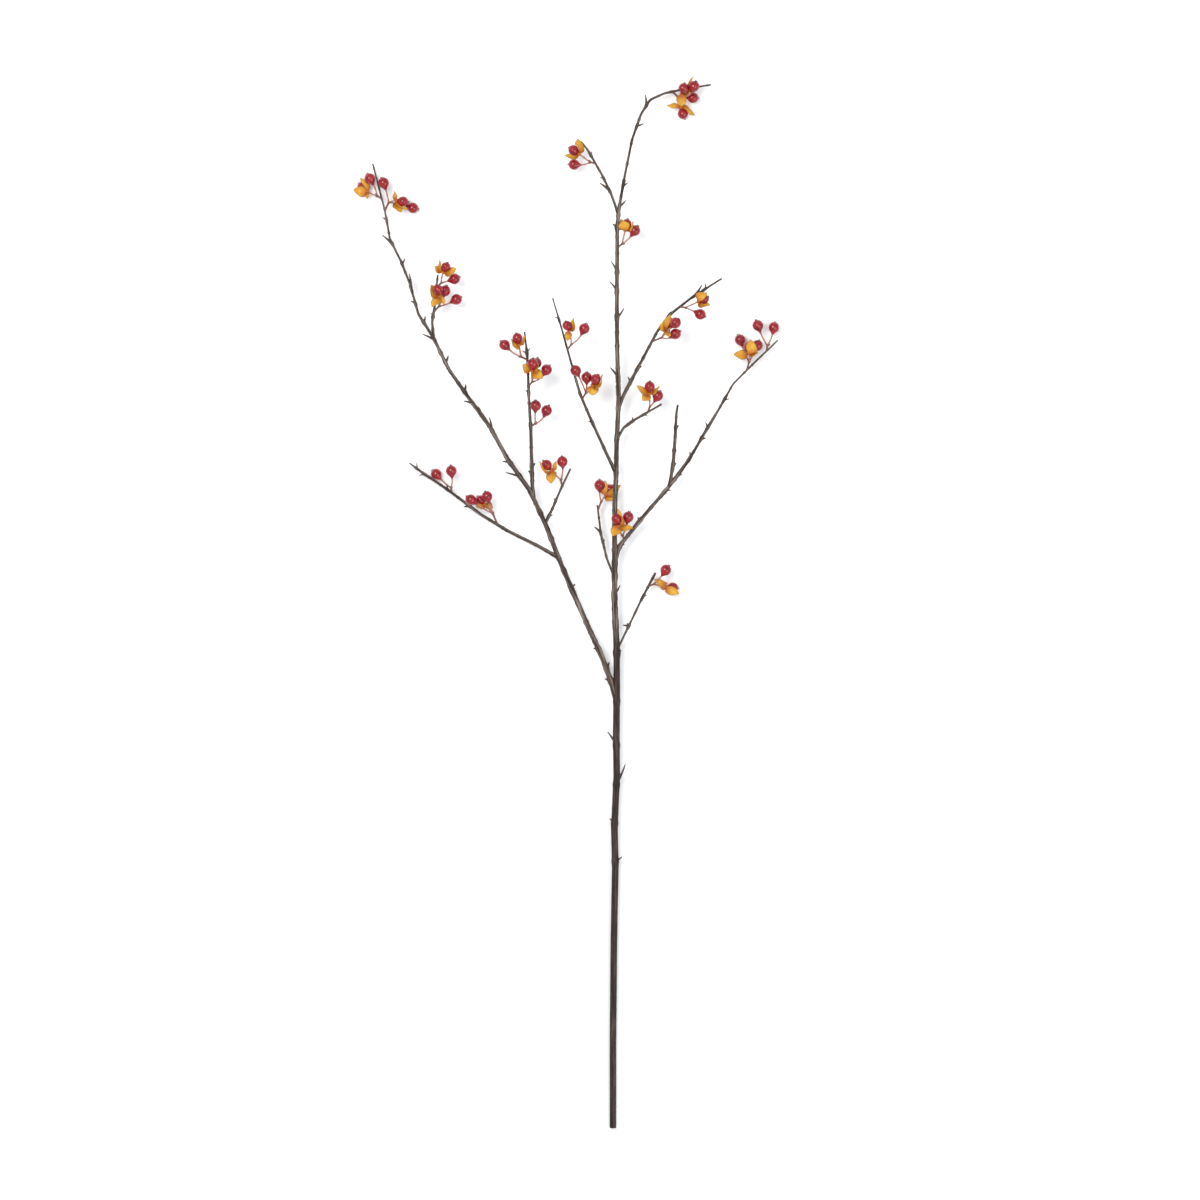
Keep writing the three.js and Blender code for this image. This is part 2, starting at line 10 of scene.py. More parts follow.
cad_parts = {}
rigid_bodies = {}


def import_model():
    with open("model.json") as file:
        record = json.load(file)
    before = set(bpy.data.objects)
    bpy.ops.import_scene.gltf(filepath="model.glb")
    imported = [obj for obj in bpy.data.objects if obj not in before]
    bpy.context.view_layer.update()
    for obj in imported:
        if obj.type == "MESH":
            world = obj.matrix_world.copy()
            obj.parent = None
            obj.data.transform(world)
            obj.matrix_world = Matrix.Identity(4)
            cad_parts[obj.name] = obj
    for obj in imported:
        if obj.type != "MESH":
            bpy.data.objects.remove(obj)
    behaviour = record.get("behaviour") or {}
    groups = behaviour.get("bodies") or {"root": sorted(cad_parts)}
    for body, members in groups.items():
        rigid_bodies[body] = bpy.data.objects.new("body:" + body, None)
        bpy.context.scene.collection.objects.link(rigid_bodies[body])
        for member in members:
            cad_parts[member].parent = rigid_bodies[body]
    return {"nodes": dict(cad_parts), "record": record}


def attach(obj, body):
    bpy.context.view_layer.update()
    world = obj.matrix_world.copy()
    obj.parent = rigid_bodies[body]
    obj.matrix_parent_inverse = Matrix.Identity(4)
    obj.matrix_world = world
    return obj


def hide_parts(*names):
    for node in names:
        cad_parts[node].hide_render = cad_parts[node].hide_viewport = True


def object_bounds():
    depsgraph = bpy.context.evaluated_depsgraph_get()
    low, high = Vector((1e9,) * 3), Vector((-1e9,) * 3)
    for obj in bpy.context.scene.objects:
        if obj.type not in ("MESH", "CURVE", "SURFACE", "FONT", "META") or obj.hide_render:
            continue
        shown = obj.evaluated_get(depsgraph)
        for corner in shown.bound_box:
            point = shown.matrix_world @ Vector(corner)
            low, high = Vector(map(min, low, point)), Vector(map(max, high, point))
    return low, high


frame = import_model()
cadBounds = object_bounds()
mm = 0.001


# Node graphs, for finishes and for geometry alike

class Link:
    # one output of a node; sums of links become Math nodes
    def __init__(self, graph, node, socket):
        self.graph, self.node, self.socket = graph, node, socket

    def out(self, name):
        return Link(self.graph, self.node, self.node.outputs[name])


def operator(operation, reflected):
    # reflected where the link stands on the right, as in 1 - mask
    return lambda link, other: link.graph.math(operation, *((other, link) if reflected else (link, other)))


for sign, operation in {"add": "ADD", "sub": "SUBTRACT", "mul": "MULTIPLY", "truediv": "DIVIDE",
                        "pow": "POWER"}.items():
    setattr(Link, f"__{sign}__", operator(operation, False))
    setattr(Link, f"__r{sign}__", operator(operation, True))


class Graph:
    def __init__(self, tree):
        self.tree = tree

    def add(self, kind, settings=None, inputs=None, out=0):
        node = self.tree.nodes.new(kind)
        for key, value in (settings or {}).items():
            if key == "stops":
                ramp = node.color_ramp
                while len(ramp.elements) < len(value):
                    ramp.elements.new(0.5)
                for stop, (position, colour) in zip(ramp.elements, value):
                    stop.position, stop.color = position, (*colour, 1)
            else:
                setattr(node, key, value)
        for key, value in (inputs or {}).items():
            if isinstance(value, Link):
                self.tree.links.new(value.socket, node.inputs[key])
            else:
                node.inputs[key].default_value = value
        return Link(self, node, node.outputs[out] if node.outputs else None)

    def math(self, operation, first, second=0.0):
        return self.add("ShaderNodeMath", {"operation": operation}, {0: first, 1: second})

    def vector(self, operation, first, second):
        return self.add("ShaderNodeVectorMath", {"operation": operation}, {0: first, 1: second})

    def scaled(self, vector, amount):
        return self.add("ShaderNodeVectorMath", {"operation": "SCALE"}, {0: vector, "Scale": amount})

    def xyz(self, **parts):
        return self.add("ShaderNodeCombineXYZ", None, parts)

    def parts(self, vector):
        return self.add("ShaderNodeSeparateXYZ", None, {"Vector": vector})

    def noise(self, vector, scale, detail=2.0, roughness=0.5):
        return self.add("ShaderNodeTexNoise", None, {
            "Vector": vector, "Scale": scale, "Detail": detail, "Roughness": roughness})

    def span(self, value, low, high):
        # 0 up to low, 1 from high, smooth between
        return self.add("ShaderNodeMapRange", {"interpolation_type": "SMOOTHSTEP"}, {
            "Value": value, "From Min": low, "From Max": high})

    def place(self):
        return self.add("ShaderNodeTexCoord", out="Object")

    def fact(self, name, out="Fac"):
        return self.add("ShaderNodeAttribute", {"attribute_name": name}, None, out)

    def lengthwise(self, across, climb):
        # noise drawn out along a limb or a stalk
        place = self.vector("ADD", self.scaled(self.fact("around", "Vector"), across),
                            self.xyz(Z=self.fact("along") * climb))
        return self.noise(place, 1.0, 3.0, 0.6)

    def blend(self, factor, first, second, how="MIX"):
        first, second = [(*colour, 1) if isinstance(colour, tuple) else colour for colour in (first, second)]
        return self.add("ShaderNodeMix", {"data_type": "RGBA", "blend_type": how}, {
            0: factor, 6: first, 7: second}, out=2)

    def ramp(self, stops, value):
        return self.add("ShaderNodeValToRGB", {"stops": stops}, {"Fac": value}, out="Color")

    def bump(self, strength, distance, height):
        return self.add("ShaderNodeBump", None, {
            "Strength": strength, "Distance": distance, "Height": height})

    def spot(self):
        return self.add("GeometryNodeInputPosition")

    def attribute(self, name, kind="FLOAT"):
        return self.add("GeometryNodeInputNamedAttribute", {"data_type": kind}, {"Name": name})

    def stored(self, geometry, name, value, kind="FLOAT"):
        return self.add("GeometryNodeStoreNamedAttribute", {"data_type": kind, "domain": "POINT"}, {
            "Geometry": geometry, "Name": name, "Value": value})

    def moved(self, geometry, offset):
        return self.add("GeometryNodeSetPosition", None, {"Geometry": geometry, "Offset": offset})

    def pushed(self, geometry, amount):
        # out of the surface, or into it
        return self.moved(geometry, self.scaled(self.add("GeometryNodeInputNormal"), amount))

    def ring(self, sides):
        # a circle to sweep, whose points know which way they lie
        circle = self.add("GeometryNodeCurvePrimitiveCircle", {"mode": "RADIUS"}, {
            "Resolution": sides, "Radius": 1.0})
        return self.stored(circle, "around", self.spot(), "FLOAT_VECTOR")

    def swept(self, line, ring, size):
        return self.add("GeometryNodeCurveToMesh", None, {
            "Curve": line, "Profile Curve": ring, "Scale": size, "Fill Caps": True})

    def turned(self, lean):
        return self.add("FunctionNodeAlignRotationToVector", {"axis": "Z"}, {"Vector": lean})

    def planted(self, points, piece, turn, size):
        # a copy of a piece on every point
        copies = self.add("GeometryNodeInstanceOnPoints", None, {
            "Points": points, "Instance": piece, "Rotation": turn, "Scale": size})
        return self.add("GeometryNodeRealizeInstances", None, {"Geometry": copies})

    def joined(self, first, second):
        whole = self.add("GeometryNodeJoinGeometry", None, {"Geometry": first})
        self.tree.links.new(second.socket, whole.node.inputs[0])
        return whole


# Measuring the frame

def nodeMesh(node):
    # a CAD node's mesh with its loose triangles joined up
    mesh = bmesh.new()
    mesh.from_mesh(frame["nodes"][node].data)
    bmesh.ops.remove_doubles(mesh, verts=mesh.verts, dist=0.002 * mm)
    mesh.normal_update()
    return mesh


def average(points):
    return sum(points, Vector()) / len(points)


def nearestOn(line, place):
    # nearest point on a line of points, and how far along the line it is
    best, run = None, 0
    for start, end in zip(line, line[1:]):
        edge = end - start
        share = min(1, max(0, (place - start).dot(edge) / edge.length_squared))
        spot = start + edge * share
        gap = (place - spot).length
        if best is None or gap < best[0]:
            best = (gap, spot, run + share * edge.length)
        run += edge.length
    return best


walking = {
    "rays": 12,
    "sight": 6,  # how far a ray looks for the wall, in radii
    "found": 0.8,  # share of the rays that have to meet the wall, or the walk ends
    "stray": 1.5,  # a ray longer than this many usual ones looks into a twig
    "centrings": 2,
    "lookBack": 4,  # strides that give the heading
}


def walkTube(tree, start, heading, girth, step):
    # centres and radii along the inside of a bar, as far as it goes
    place, run, rays = start.copy(), [], walking["rays"]
    while True:
        side = heading.orthogonal().normalized()
        spread = [Quaternion(heading, math.tau * i / rays) @ side for i in range(rays)]
        for _ in range(walking["centrings"]):
            reaches = []
            for ray in spread:
                hit, normal, _, distance = tree.ray_cast(place, ray, walking["sight"] * girth)
                reaches.append(distance if hit is not None and normal.dot(ray) > 0 else None)
            known = sorted(r for r in reaches if r is not None)
            if len(known) < walking["found"] * rays:
                return run
            usual = known[len(known) // 2]
            reaches = [usual if r is None or r > walking["stray"] * usual else r for r in reaches]
            # the rays' mean is half of what the place is off the centre
            place = place + average([ray * r for ray, r in zip(spread, reaches)]) * 2
        run.append((place.copy(), usual))
        if len(run) > 1:
            heading = (run[-1][0] - run[max(0, len(run) - walking["lookBack"])][0]).normalized()
        place = place + heading * step


# Limbs: each one's line is walked inside its CAD bar, from its tip down to its foot

limbSizes = {
    "stride": 1 * mm,
    "scooped": 6,  # strides at a twig's foot that its limb's hollow may reach
    "scoopedGirth": 0.9,  # a scooped end is thinner than this share of the usual
    "cutDepth": 0.1 * mm,
    "capSpread": 2.6 * mm,  # the far end of a twig is narrower than this
    "facetLoss": 1.04,  # a bar with flat sides is this much wider at its edges
    "spurFrom": 1.3,  # a spur stands out beyond this many radii and
    "spurStand": 0.7 * mm,  # this much more
    "evened": 2,  # strides to either side that a line is evened over
    "footLook": 8,  # strides that tell which way a twig's foot points
    "footSteps": 30,  # millimetres within which it meets its limb
}
slots = {part["node"]: part["material_slot"] for part in frame["record"]["subparts"]}
woodNodes = [node for node in slots if "bark" in slots[node]]
sprayNodes = [node for node in slots if node.endswith("_spray")]
huskNodes = [node for node in slots if "_husk" in node]


def measureLimb(node):
    sizes, scooped = limbSizes, limbSizes["scooped"]
    mesh = nodeMesh(node)
    tree = BVHTree.FromBMesh(mesh)
    spots = [v.co.copy() for v in mesh.verts]
    top = max(spots, key=lambda spot: spot.y)
    cap = [spot for spot in spots if (spot - top).length < sizes["capSpread"]]
    tip = average(cap)
    rest = sorted((spot for spot in spots if spot not in cap), key=lambda spot: (spot - tip).length)
    heading = (average(rest[:len(cap)]) - tip).normalized()
    girth = sum((spot - tip).length for spot in cap) / len(cap)
    run = walkTube(tree, tip + heading * mm, heading, girth, sizes["stride"])
    run = [(tip, girth / sizes["facetLoss"])] + run
    line = [place for place, _ in run][::-1]
    girths = [radius * sizes["facetLoss"] for _, radius in run][::-1]
    if node == "main_stem":
        low = min(spot.y for spot in spots)
        line.insert(0, average([spot for spot in spots if spot.y < low + sizes["cutDepth"]]))
        girths.insert(0, girths[0])
    else:
        # where a twig meets its limb, its end is scooped out, so it is left off
        usual = sorted(girths[:scooped * 3])[scooped * 2]
        first = max(i for i in range(scooped) if i == 0 or girths[i] < sizes["scoopedGirth"] * usual)
        line, girths = line[first + 1:], girths[first + 1:]
    spurs = []
    for vertex in mesh.verts:
        gap, spot, run = nearestOn(line, vertex.co)
        girth = girths[min(range(len(line)), key=lambda i: (line[i] - spot).length)]
        atFoot = node != "main_stem" and run < scooped * sizes["stride"]
        if gap > sizes["spurFrom"] * girth + sizes["spurStand"] and not atFoot:
            leans = [(vertex.co - e.other_vert(vertex).co).normalized() for e in vertex.link_edges]
            spurs.append((vertex.co.copy(), average(leans).normalized()))
    mesh.free()
    return {"line": line, "girths": girths, "spurs": spurs}


limbs = {node: measureLimb(node) for node in woodNodes}
print("limbs measured:", len(limbs))

# Each limb's buds, (share of its length, reach), with a minus for those on its right, then its
# raised sleeves of bark, (share of its length, length, thickness)
limbMarks = {
    "main_stem": (
        [(0.432, -5.3), (0.82, 5.3), (0.859, -5), (0.915, -6.5), (0.963, -4.5)],
        [(0.456, 9, 0.4), (0.552, 6, 0.25), (0.6, 5, 0.3), (0.668, 11, 0.35), (0.722, 5, 0.25),
         (0.818, 6, 0.6), (0.862, 3, 0.5), (0.897, 3, 0.5)],
    ),
    "left_limb": (
        [(0.034, 5.8), (0.058, -5.7), (0.091, 4.9), (0.441, 6.4), (0.583, -6.2),
         (0.641, -6.5), (0.718, -5.4), (0.753, 4.7), (0.823, -5.6), (0.902, 4.7)],
        [(0.02, 12, 0.35), (0.075, 14, 0.3), (0.189, 6, 0.45), (0.367, 9, 0.5), (0.43, 6, 0.3),
         (0.52, 5, 0.3), (0.62, 4, 0.3), (0.77, 4, 0.3)],
    ),
    "low_left_twig": (
        [(0.585, 5), (0.74, -4.7), (0.895, 5.3), (0.947, -5)],
        [(0.03, 4, 0.35), (0.32, 4, 0.25)],
    ),
    "left_inner_twig": ([(0.141, -3.6), (0.4, 3.6)], [(0.02, 3, 0.3)]),
    "left_upright_twig": (
        [(0.141, 4.6), (0.19, -3.9), (0.631, 3.9), (0.866, 5), (0.88, -4.2)],
        [(0.02, 4, 0.35), (0.407, 8, 0.4), (0.8, 3, 0.3)],
    ),
    "upper_left_twig": ([(0.35, 3.4)], [(0.03, 3, 0.3), (0.3, 3, 0.35)]),
    "right_limb": (
        [(0.068, -3.8), (0.174, 4.5), (0.324, -4.6), (0.394, -3.6), (0.547, -4.2),
         (0.592, 5.4), (0.71, -4.6)],
        [(0.015, 6, 0.4), (0.36, 5, 0.3), (0.395, 20, 0.25), (0.55, 29, 0.25), (0.72, 4, 0.3)],
    ),
    "right_upright_twig": (
        [(0.259, -3.4), (0.715, -3.9)],
        [(0.18, 4, 0.35), (0.42, 4, 0.35), (0.62, 4, 0.3)],
    ),
    "centre_left_twig": (
        [(0.3, 3.4), (0.885, 5)],
        [(0.02, 5, 0.35), (0.45, 4, 0.25)],
    ),
    "centre_low_left_twig": ([(0.5, -3)], [(0.03, 3, 0.25)]),
    "centre_right_twig": (
        [(0.165, 5.4), (0.267, -3.4), (0.881, 5.5)],
        [(0.02, 5, 0.4), (0.47, 4, 0.35), (0.6, 8, 0.25)],
    ),
    "small_right_twig": ([(0.407, 4.1), (0.645, -3.4)], [(0.04, 3, 0.3)]),
    "top_left_twig": ([(0.471, 3.9), (0.8, -3)], [(0.04, 3, 0.3), (0.6, 3, 0.25)]),
    "low_right_twig": ([(0.312, 3.4), (0.7, -3)], [(0.04, 4, 0.3), (0.5, 4, 0.25)]),
}
limbGrowth = {
    "bark": 0.3,  # depth of the bark's ridges, as a share of a limb's radius
    "stride": 0.9 * mm,
    "sides": 18,
    "stemSides": 26,
    "smoothUntil": 0.43,  # share of the main stem that is smooth, from its cut end
    "roughFrom": 0.485,
    "smoothBark": 0.12,  # how rough the smooth part is
    "swell": 0.5 * mm,  # how much a limb thickens where a spur or a twig leaves it
    "swellReach": 3.2 * mm,
    "knots": (9, 26),  # millimetres from one small knot to the next
    "knotDepth": (0.2 * mm, 0.5 * mm),
    "knotReach": (1.0 * mm, 1.9 * mm),
    "sleeveStart": 0.45,  # a sleeve of bark starts with this share of its thickness
    "flare": 0.35,  # how much a twig thickens at its own foot
    "flareReach": 5 * mm,
    "uneven": (0.9, 1.15),  # how one spur or bud differs in girth from the next
    "spurGirth": 1.45 * mm,
    "spurRough": 0.6,
    "budGirth": 1.5 * mm,
    "budMost": 1.1,  # a bud is no thicker than this many radii of its limb
    "budSlant": 0.9,
    "budLift": 0.22,
    "budStretch": 1.22,
    "fullness": {  # how much thicker than its CAD bar a limb is, at its foot and its tip
        "main_stem": (1.04, 1.3), "left_limb": (1.12, 1.28), "right_limb": (1.2, 1.3),
        "low_right_twig": (1.08, 1.2), "other": (1.36, 1.42),
    },
}
spurShape = {
    "rings": 8, "sides": 9, "length": 6 * mm,
    "blunt": 0.34,  # girth of the tip, as a share of the foot's
    "taper": 1.5, "bend": 0.35,
}
barkRelief = {"ridges": (2.4, 42.0), "scales": (4.5, 520.0), "scaleDepth": 0.75}


def branchTree():
    # bark swept along each line, and a pointed spur on each loose point
    tree, graph, source = growingTree("branch", Stride="Float", Sides="Int", Bark="Float", Seed="Float")
    parts = graph.add("GeometryNodeSeparateGeometry", {"domain": "POINT"}, {
        "Geometry": source.out("Geometry"), "Selection": graph.attribute("isSpur")})
    line = graph.add("GeometryNodeMeshToCurve", None, {"Mesh": parts.out("Inverted")})
    line = graph.add("GeometryNodeCurveSplineType", {"spline_type": "CATMULL_ROM"}, {"Curve": line})
    line = graph.add("GeometryNodeResampleCurve", {"mode": "LENGTH"}, {
        "Curve": line, "Length": source.out("Stride")})
    line = graph.stored(line, "along", graph.add("GeometryNodeSplineParameter", out="Length"))
    bark = graph.swept(line, graph.ring(source.out("Sides")), graph.attribute("girth"))

    spine = graph.add("GeometryNodeCurvePrimitiveLine", {"mode": "POINTS"}, {"End": (0, 0, 1)})
    spine = graph.add("GeometryNodeResampleCurve", {"mode": "COUNT"}, {
        "Curve": spine, "Count": spurShape["rings"]})
    share = graph.add("GeometryNodeSplineParameter", out="Factor")
    spine = graph.stored(spine, "along", share * spurShape["length"])
    taper = (1 - share ** spurShape["taper"]) * (1 - spurShape["blunt"]) + spurShape["blunt"]
    spur = graph.swept(spine, graph.ring(spurShape["sides"]), taper)
    climb = graph.parts(graph.spot()).out("Z")
    spur = graph.moved(spur, graph.xyz(X=graph.math("SINE", climb * math.pi) * spurShape["bend"]))
    size = graph.xyz(X=graph.attribute("girth"), Y=graph.attribute("girth"), Z=graph.attribute("reach"))
    turn = graph.turned(graph.attribute("lean", "FLOAT_VECTOR"))
    whole = graph.joined(bark, graph.planted(parts.out("Selection"), spur, turn, size))

    # ridges run lengthwise, with finer scales across them
    around = graph.attribute("around", "FLOAT_VECTOR")
    climb = graph.attribute("along") + source.out("Seed")

    def drawnOut(across, along, detail):
        place = graph.vector("ADD", graph.scaled(around, across), graph.xyz(Z=climb * along))
        return graph.noise(place, 1.0, detail) - 0.5

    relief = drawnOut(*barkRelief["ridges"], 2.0)
    relief = relief + drawnOut(*barkRelief["scales"], 1.0) * barkRelief["scaleDepth"]
    relief = relief * graph.attribute("girth") * graph.attribute("rough") * source.out("Bark")
    finishTree(graph, graph.pushed(whole, relief), source)
    return tree


def placed(name, data):
    item = bpy.data.objects.new(name, data)
    bpy.context.scene.collection.objects.link(item)
    return item


def growingTree(name, **inputs):
    tree = bpy.data.node_groups.new(name, "GeometryNodeTree")
    for label, kind in {"Geometry": "Geometry", "Finish": "Material", **inputs}.items():
        tree.interface.new_socket(label, in_out="INPUT", socket_type="NodeSocket" + kind)
    tree.interface.new_socket("Geometry", in_out="OUTPUT", socket_type="NodeSocketGeometry")
    graph = Graph(tree)
    return tree, graph, graph.add("NodeGroupInput")


def finishTree(graph, geometry, source):
    geometry = graph.add("GeometryNodeRealizeInstances", None, {"Geometry": geometry})
    geometry = graph.add("GeometryNodeSetShadeSmooth", None, {"Geometry": geometry})
    geometry = graph.add("GeometryNodeSetMaterial", None, {
        "Geometry": geometry, "Material": source.out("Finish")})
    end = graph.add("NodeGroupOutput")
    graph.tree.links.new(geometry.socket, end.node.inputs[0])


def grow(name, seed, tree, sizes):
    # runs a tree on a seed mesh and keeps the result as a plain mesh
    piece = placed(name, seed)
    modifier = piece.modifiers.new("grow", "NODES")
    modifier.node_group = tree
    for item in tree.interface.items_tree:
        if item.in_out == "INPUT" and item.name in sizes:
            modifier[item.identifier] = sizes[item.name]
    graph = bpy.context.evaluated_depsgraph_get()
    mesh = bpy.data.meshes.new_from_object(piece.evaluated_get(graph), preserve_all_data_layers=True,
                                           depsgraph=graph)
    piece.modifiers.clear()
    keepInside(mesh)
    piece.data = mesh
    mesh.name = name
    return piece


def seedMesh(name, lines, points, facts):
    # lines are lists of points joined in order; every point has a value for each fact
    mesh = bpy.data.meshes.new(name)
    spots, edges, values = [], [], {fact: [] for fact in facts}
    for line in lines:
        edges += [(len(spots) + i, len(spots) + i + 1) for i in range(len(line) - 1)]
        spots += [entry["at"] for entry in line]
    spots += [entry["at"] for entry in points]
    for entry in sum(lines, []) + points:
        for fact, usual in facts.items():
            values[fact].append(entry.get(fact, usual))
    mesh.from_pydata(spots, edges, [])
    for fact, usual in facts.items():
        if isinstance(usual, Vector):
            layer = mesh.attributes.new(fact, "FLOAT_VECTOR", "POINT")
            layer.data.foreach_set("vector", [c for value in values[fact] for c in value])
        else:
            layer = mesh.attributes.new(fact, "FLOAT", "POINT")
            layer.data.foreach_set("value", values[fact])
    return mesh


def keepInside(mesh):
    # what stands out of the CAD's box by a hair is brought back to it
    low, high = cadBounds
    spots = [0.0] * (3 * len(mesh.vertices))
    mesh.vertices.foreach_get("co", spots)
    spots = [min(max(c, low[i % 3]), high[i % 3]) for i, c in enumerate(spots)]
    mesh.vertices.foreach_set("co", spots)


def keepMesh(mesh, name, finish, node):
    bmesh.ops.recalc_face_normals(mesh, faces=mesh.faces)
    data = bpy.data.meshes.new(name)
    mesh.to_mesh(data)
    mesh.free()
    keepInside(data)
    data.polygons.foreach_set("use_smooth", [True] * len(data.polygons))
    data.materials.append(finish)
    handOver(placed(name, data), node)


def handOver(piece, node):
    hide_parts(node)
    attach(piece, "root")


def camel(node):
    first, *rest = node.split("_")
    return first + "".join(word.capitalize() for word in rest)


def pointAt(line, runs, run):
    i = max(1, next((i for i, r in enumerate(runs) if r >= run), len(runs) - 1))
    share = (run - runs[i - 1]) / max(1e-9, runs[i] - runs[i - 1])
    return line[i - 1].lerp(line[i], share), (line[i] - line[i - 1]).normalized(), i


def smoothed(line, reach):
    kept = [average(line[max(0, i - reach):i + reach + 1]) for i in range(len(line))]
    return [line[0]] + kept[1:-1] + [line[-1]]


def hump(gap, reach):
    # 1 at no gap, fading within a reach or two
    return math.exp(-(gap / reach) ** 2)


# each twig's line is led into the middle of the limb that it grows from
for node, limb in limbs.items():
    limb["line"] = smoothed(limb["line"], limbSizes["evened"])
    limb["leaving"] = []
    if node == "main_stem":
        continue
    foot = limb["line"][0]
    others = [(nearestOn(other["line"], foot), name) for name, other in limbs.items() if name != node]
    limb["parent"] = min(others, key=lambda found: found[0][0])[1]
    back = (foot - limb["line"][limbSizes["footLook"]]).normalized()
    reached = [nearestOn(limbs[limb["parent"]]["line"], foot + back * step * mm)
               for step in range(limbSizes["footSteps"])]
    limb["foot"], limb["joins"] = min(reached, key=lambda found: found[0])[1:]
for node, limb in limbs.items():
    if "parent" in limb:
        limb["line"].insert(0, limb["foot"])
        limb["girths"].insert(0, limb["girths"][0])
        limbs[limb["parent"]]["leaving"].append(limb["joins"])
    limb["runs"] = [0.0]
    for start, end in zip(limb["line"], limb["line"][1:]):
        limb["runs"].append(limb["runs"][-1] + (end - start).length)


branchFacts = {"girth": mm, "rough": 1.0, "tone": 0.0, "isSpur": 0.0, "reach": 0.0, "lean": Vector((0, 0, 1))}


def growLimb(node, tree, finish):
    limb, looks = limbs[node], limbGrowth
    buds, sleeves = limbMarks[node]
    line, runs = limb["line"], limb["runs"]
    length, isStem = runs[-1], node == "main_stem"
    rng = random.Random(node)
    spurs, swells = [], list(limb["leaving"])
    footFullness, tipFullness = looks["fullness"].get(node, looks["fullness"]["other"])
    for tip, lean in limb["spurs"]:
        # a spur starts where its own line, followed back, comes nearest the limb's
        reach = min((k * 0.5 * mm for k in range(1, 80)),
                    key=lambda r: nearestOn(line, tip - lean * r)[0] + r * 0.02)
        swells.append(nearestOn(line, tip - lean * reach)[2])
        spurs.append({"at": tip - lean * reach, "lean": lean, "reach": reach,
                      "girth": looks["spurGirth"] * rng.uniform(*looks["uneven"])})
    for share, reach in buds:
        spot, heading, i = pointAt(line, runs, share * length)
        out = heading.cross(Vector((0, 0, 1))).normalized() * -math.copysign(1, reach)
        lift = Vector((0, 0, looks["budLift"] * rng.uniform(-1, 1)))
        girth = min(looks["budGirth"], looks["budMost"] * limb["girths"][i]) * rng.uniform(*looks["uneven"])
        spurs.append({"at": spot, "lean": (heading * looks["budSlant"] + out + lift).normalized(),
                      "reach": abs(reach) * looks["budStretch"] * mm, "girth": girth})
        swells.append(share * length)
    knots, run = [], 0.0
    while run < length:
        run += rng.uniform(*looks["knots"]) * mm
        knots.append((run, rng.uniform(*looks["knotDepth"]), rng.uniform(*looks["knotReach"])))
    path = []
    for spot, run, girth in zip(line, runs, limb["girths"]):
        girth *= footFullness + (tipFullness - footFullness) * run / length
        rough = 1.0
        if isStem:
            rise = (run / length - looks["smoothUntil"]) / (looks["roughFrom"] - looks["smoothUntil"])
            rough = looks["smoothBark"] + (1 - looks["smoothBark"]) * min(1, max(0, rise))
        for swell in swells:
            girth += looks["swell"] * hump(run - swell, looks["swellReach"])
        for knot, depth, reach in knots:
            girth += depth * rough * hump(run - knot, reach)
        for share, reach, depth in sleeves:
            inside = (run - share * length) / (reach * mm)
            if 0 <= inside <= 1:
                girth += depth * mm * (looks["sleeveStart"] + (1 - looks["sleeveStart"]) * inside)
        if not isStem:
            girth *= 1 + looks["flare"] * math.exp(-run / looks["flareReach"])
        path.append({"at": spot, "girth": girth, "rough": rough})
    if isStem:
        path[0]["at"] = path[0]["at"] + Vector((0, cutLooks["inset"], 0))
    for spur in spurs:
        spur.update(isSpur=1.0, rough=looks["spurRough"])
    return grow(camel(node), seedMesh(node + "Seed", [path], spurs, branchFacts), tree, {
        "Stride": looks["stride"], "Sides": looks["stemSides" if isStem else "sides"], "Bark": looks["bark"],
        "Seed": rng.uniform(0, 3), "Finish": finish})


# Finishes

def finishGraph(name):
    material = bpy.data.materials.new(name)
    material.use_nodes = True
    material.node_tree.nodes.clear()
    graph = Graph(material.node_tree)
    graph.material = material
    return graph


def closeFinish(graph, inputs):
    skin = graph.add("ShaderNodeBsdfPrincipled", None, inputs)
    end = graph.add("ShaderNodeOutputMaterial")
    graph.tree.links.new(skin.socket, end.node.inputs["Surface"])
    return graph.material


barkLooks = {
    "smooth": [(0.0, (0.008, 0.004, 0.003)), (0.5, (0.022, 0.012, 0.009)), (1.0, (0.07, 0.048, 0.041))],
    "rough": [(0.12, (0.01, 0.006, 0.005)), (0.4, (0.046, 0.032, 0.025)), (0.62, (0.115, 0.088, 0.072)),
              (0.88, (0.34, 0.285, 0.25))],
    "twig": [(0.12, (0.012, 0.008, 0.006)), (0.42, (0.043, 0.031, 0.024)), (0.65, (0.11, 0.085, 0.068)),
             (0.9, (0.29, 0.24, 0.203))],
    "streaks": (2.6, 38.0),  # how fine, across and along
    "flecks": (9.0, 700.0),
    "patches": 55.0,
    "depth": 0.12 * mm,
}


def barkFinish(name, stops):
    graph = finishGraph(name)
    streaks = graph.span(graph.lengthwise(*barkLooks["streaks"]), 0.3, 0.7)
    flecks = graph.lengthwise(*barkLooks["flecks"])
    patches = graph.noise(graph.place(), barkLooks["patches"])
    bark = graph.ramp(stops, streaks * 0.6 + flecks * 0.3 + patches * 0.25 - 0.1)
    bare = graph.ramp(barkLooks["smooth"], streaks * 0.75 + patches * 0.35 - 0.05)
    rough = graph.span(graph.fact("rough"), 0.12, 0.6)
    return closeFinish(graph, {
        "Base Color": graph.blend(rough, bare, bark), "Roughness": 0.4 + rough * 0.28 + flecks * 0.14,
        "Normal": graph.bump(0.5, barkLooks["depth"], streaks * rough + flecks * 0.6),
        "Specular IOR Level": 0.22})


stalkLooks = {
    "shoot": (0.155, 0.062, 0.042),
    "stalk": (0.4, 0.165, 0.12),
    "byBerry": (0.3, 0.04, 0.035),
    "shade": [(0.3, (0.55, 0.5, 0.48)), (0.7, (1.15, 1.12, 1.1))],
    "grain": (2.6, 260.0),
    "depth": 0.08 * mm,
}


